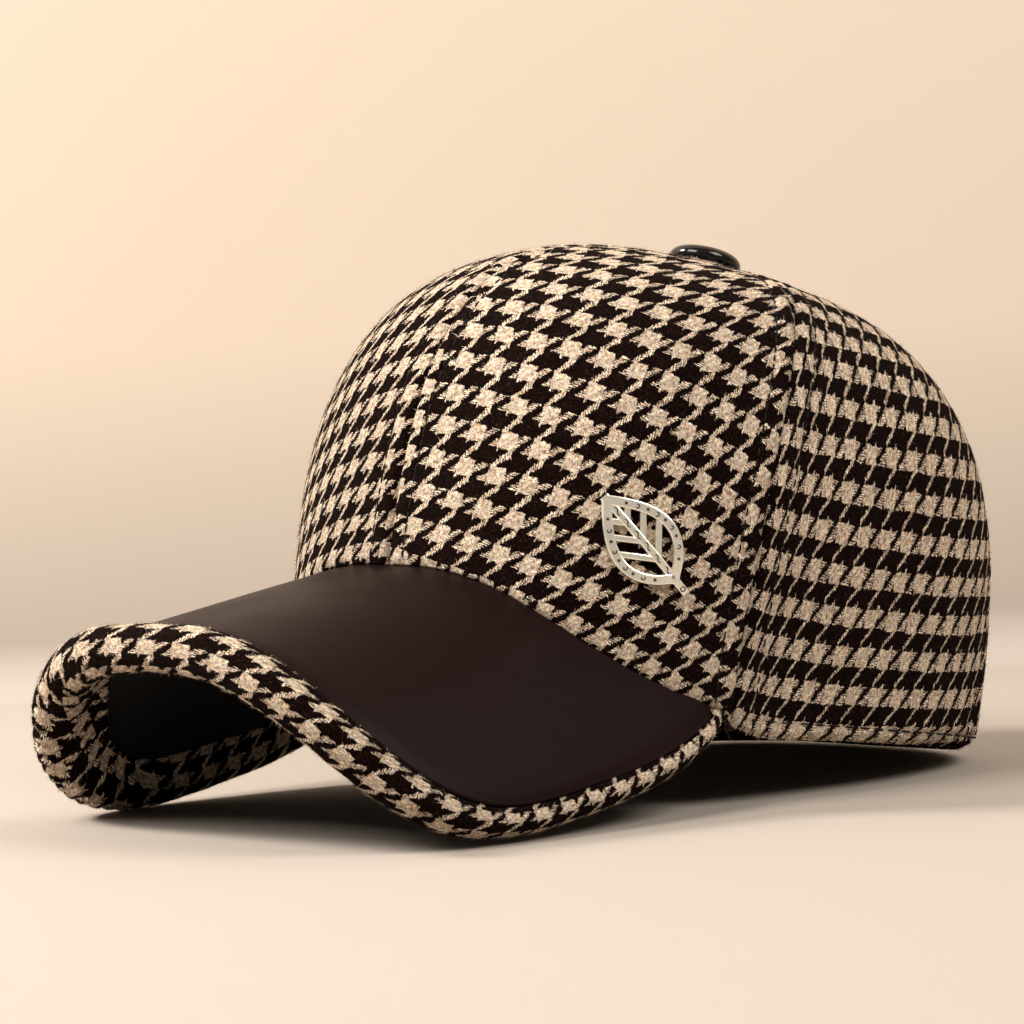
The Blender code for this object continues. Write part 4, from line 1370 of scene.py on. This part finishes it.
def stage_paper(name, is_backdrop):
    paper = Material(name)
    mottle = paper.noise(paper.position, 3.0, 3.0)
    color, backdrop = (paper.blend(mottle, tint, tuple(0.96 * part for part in tint))
                       for tint in (FLOOR_COLOR, BACKDROP_COLOR))
    if is_backdrop:
        height = paper.formula(paper.node("ShaderNodeSeparateXYZ", Vector=paper.position).outputs[2])
        color = paper.blend((height * (1.0 / BACKDROP_BLEND)).clamp(), color, backdrop)
        # seen from behind, the backdrop isn't in the way
        either = paper.node("ShaderNodeMixShader", Fac=paper.node("ShaderNodeNewGeometry").outputs["Backfacing"])
        paper.join(paper.shader.outputs[0], either.inputs[1])
        paper.join(paper.node("ShaderNodeBsdfTransparent").outputs[0], either.inputs[2])
        paper.join(either.outputs[0], paper.tree.nodes["Material Output"].inputs["Surface"])
    paper.set(Base_Color=color, Roughness=0.85, Specular_IOR_Level=0.2)
    return paper.made


def add_stage():
    """A plain floor that curves up into a plain backdrop."""
    near, right = level_axes()
    turns = [math.pi / 2.0 * step / 16 for step in range(1, 17)]
    outline = [(-STAGE_SIZE, 0.0), (BACKDROP_PLACE, 0.0)]
    outline += [(BACKDROP_PLACE + STAGE_CURVE * math.sin(turn), STAGE_CURVE * (1.0 - math.cos(turn)))
                for turn in turns]
    outline.append((BACKDROP_PLACE + STAGE_CURVE, STAGE_SIZE))
    points = [right * sideways - near * reach + Vector((0.0, 0.0, height))
              for reach, height in outline for sideways in (-STAGE_HALF_WIDTH, STAGE_HALF_WIDTH)]
    mesh = bpy.data.meshes.new("stage")
    mesh.from_pydata(points, [], [[2 * i, 2 * i + 1, 2 * i + 3, 2 * i + 2] for i in range(len(outline) - 1)])
    mesh.shade_smooth()
    mesh.materials.append(stage_paper("stage_floor", False))
    mesh.materials.append(stage_paper("stage_backdrop", True))
    for polygon in mesh.polygons:
        polygon.material_index = min(polygon.index, 1)
    made = bpy.data.objects.new("stage", mesh)
    bpy.context.collection.objects.link(made)


def add_lights():
    world = bpy.data.worlds.new("studio")
    bpy.context.scene.world = world
    world.use_nodes = True
    background = world.node_tree.nodes["Background"]
    background.inputs[0].default_value, background.inputs[1].default_value = WORLD_COLOR, WORLD_STRENGTH
    for name, setting in LIGHTS.items():
        add_area(name, *setting)


def main():
    add_camera()
    add_stage()
    add_lights()
    panels = add_crown()
    for number, (place, panel) in enumerate(panels.items()):
        add_fibres(f"{place}_nap", panel, PANEL_FIBRES, PANEL_SEED + number, CROWN_MIDDLE)
    add_crown_stitches()
    add_visor_sheets()
    add_fibres("rim_nap", add_rim(), RIM_FIBRES, RIM_SEED)
    add_button()
    add_pin()
    bpy.context.scene.view_settings.view_transform = "Standard"


main()
bpy.context.view_layer.update()
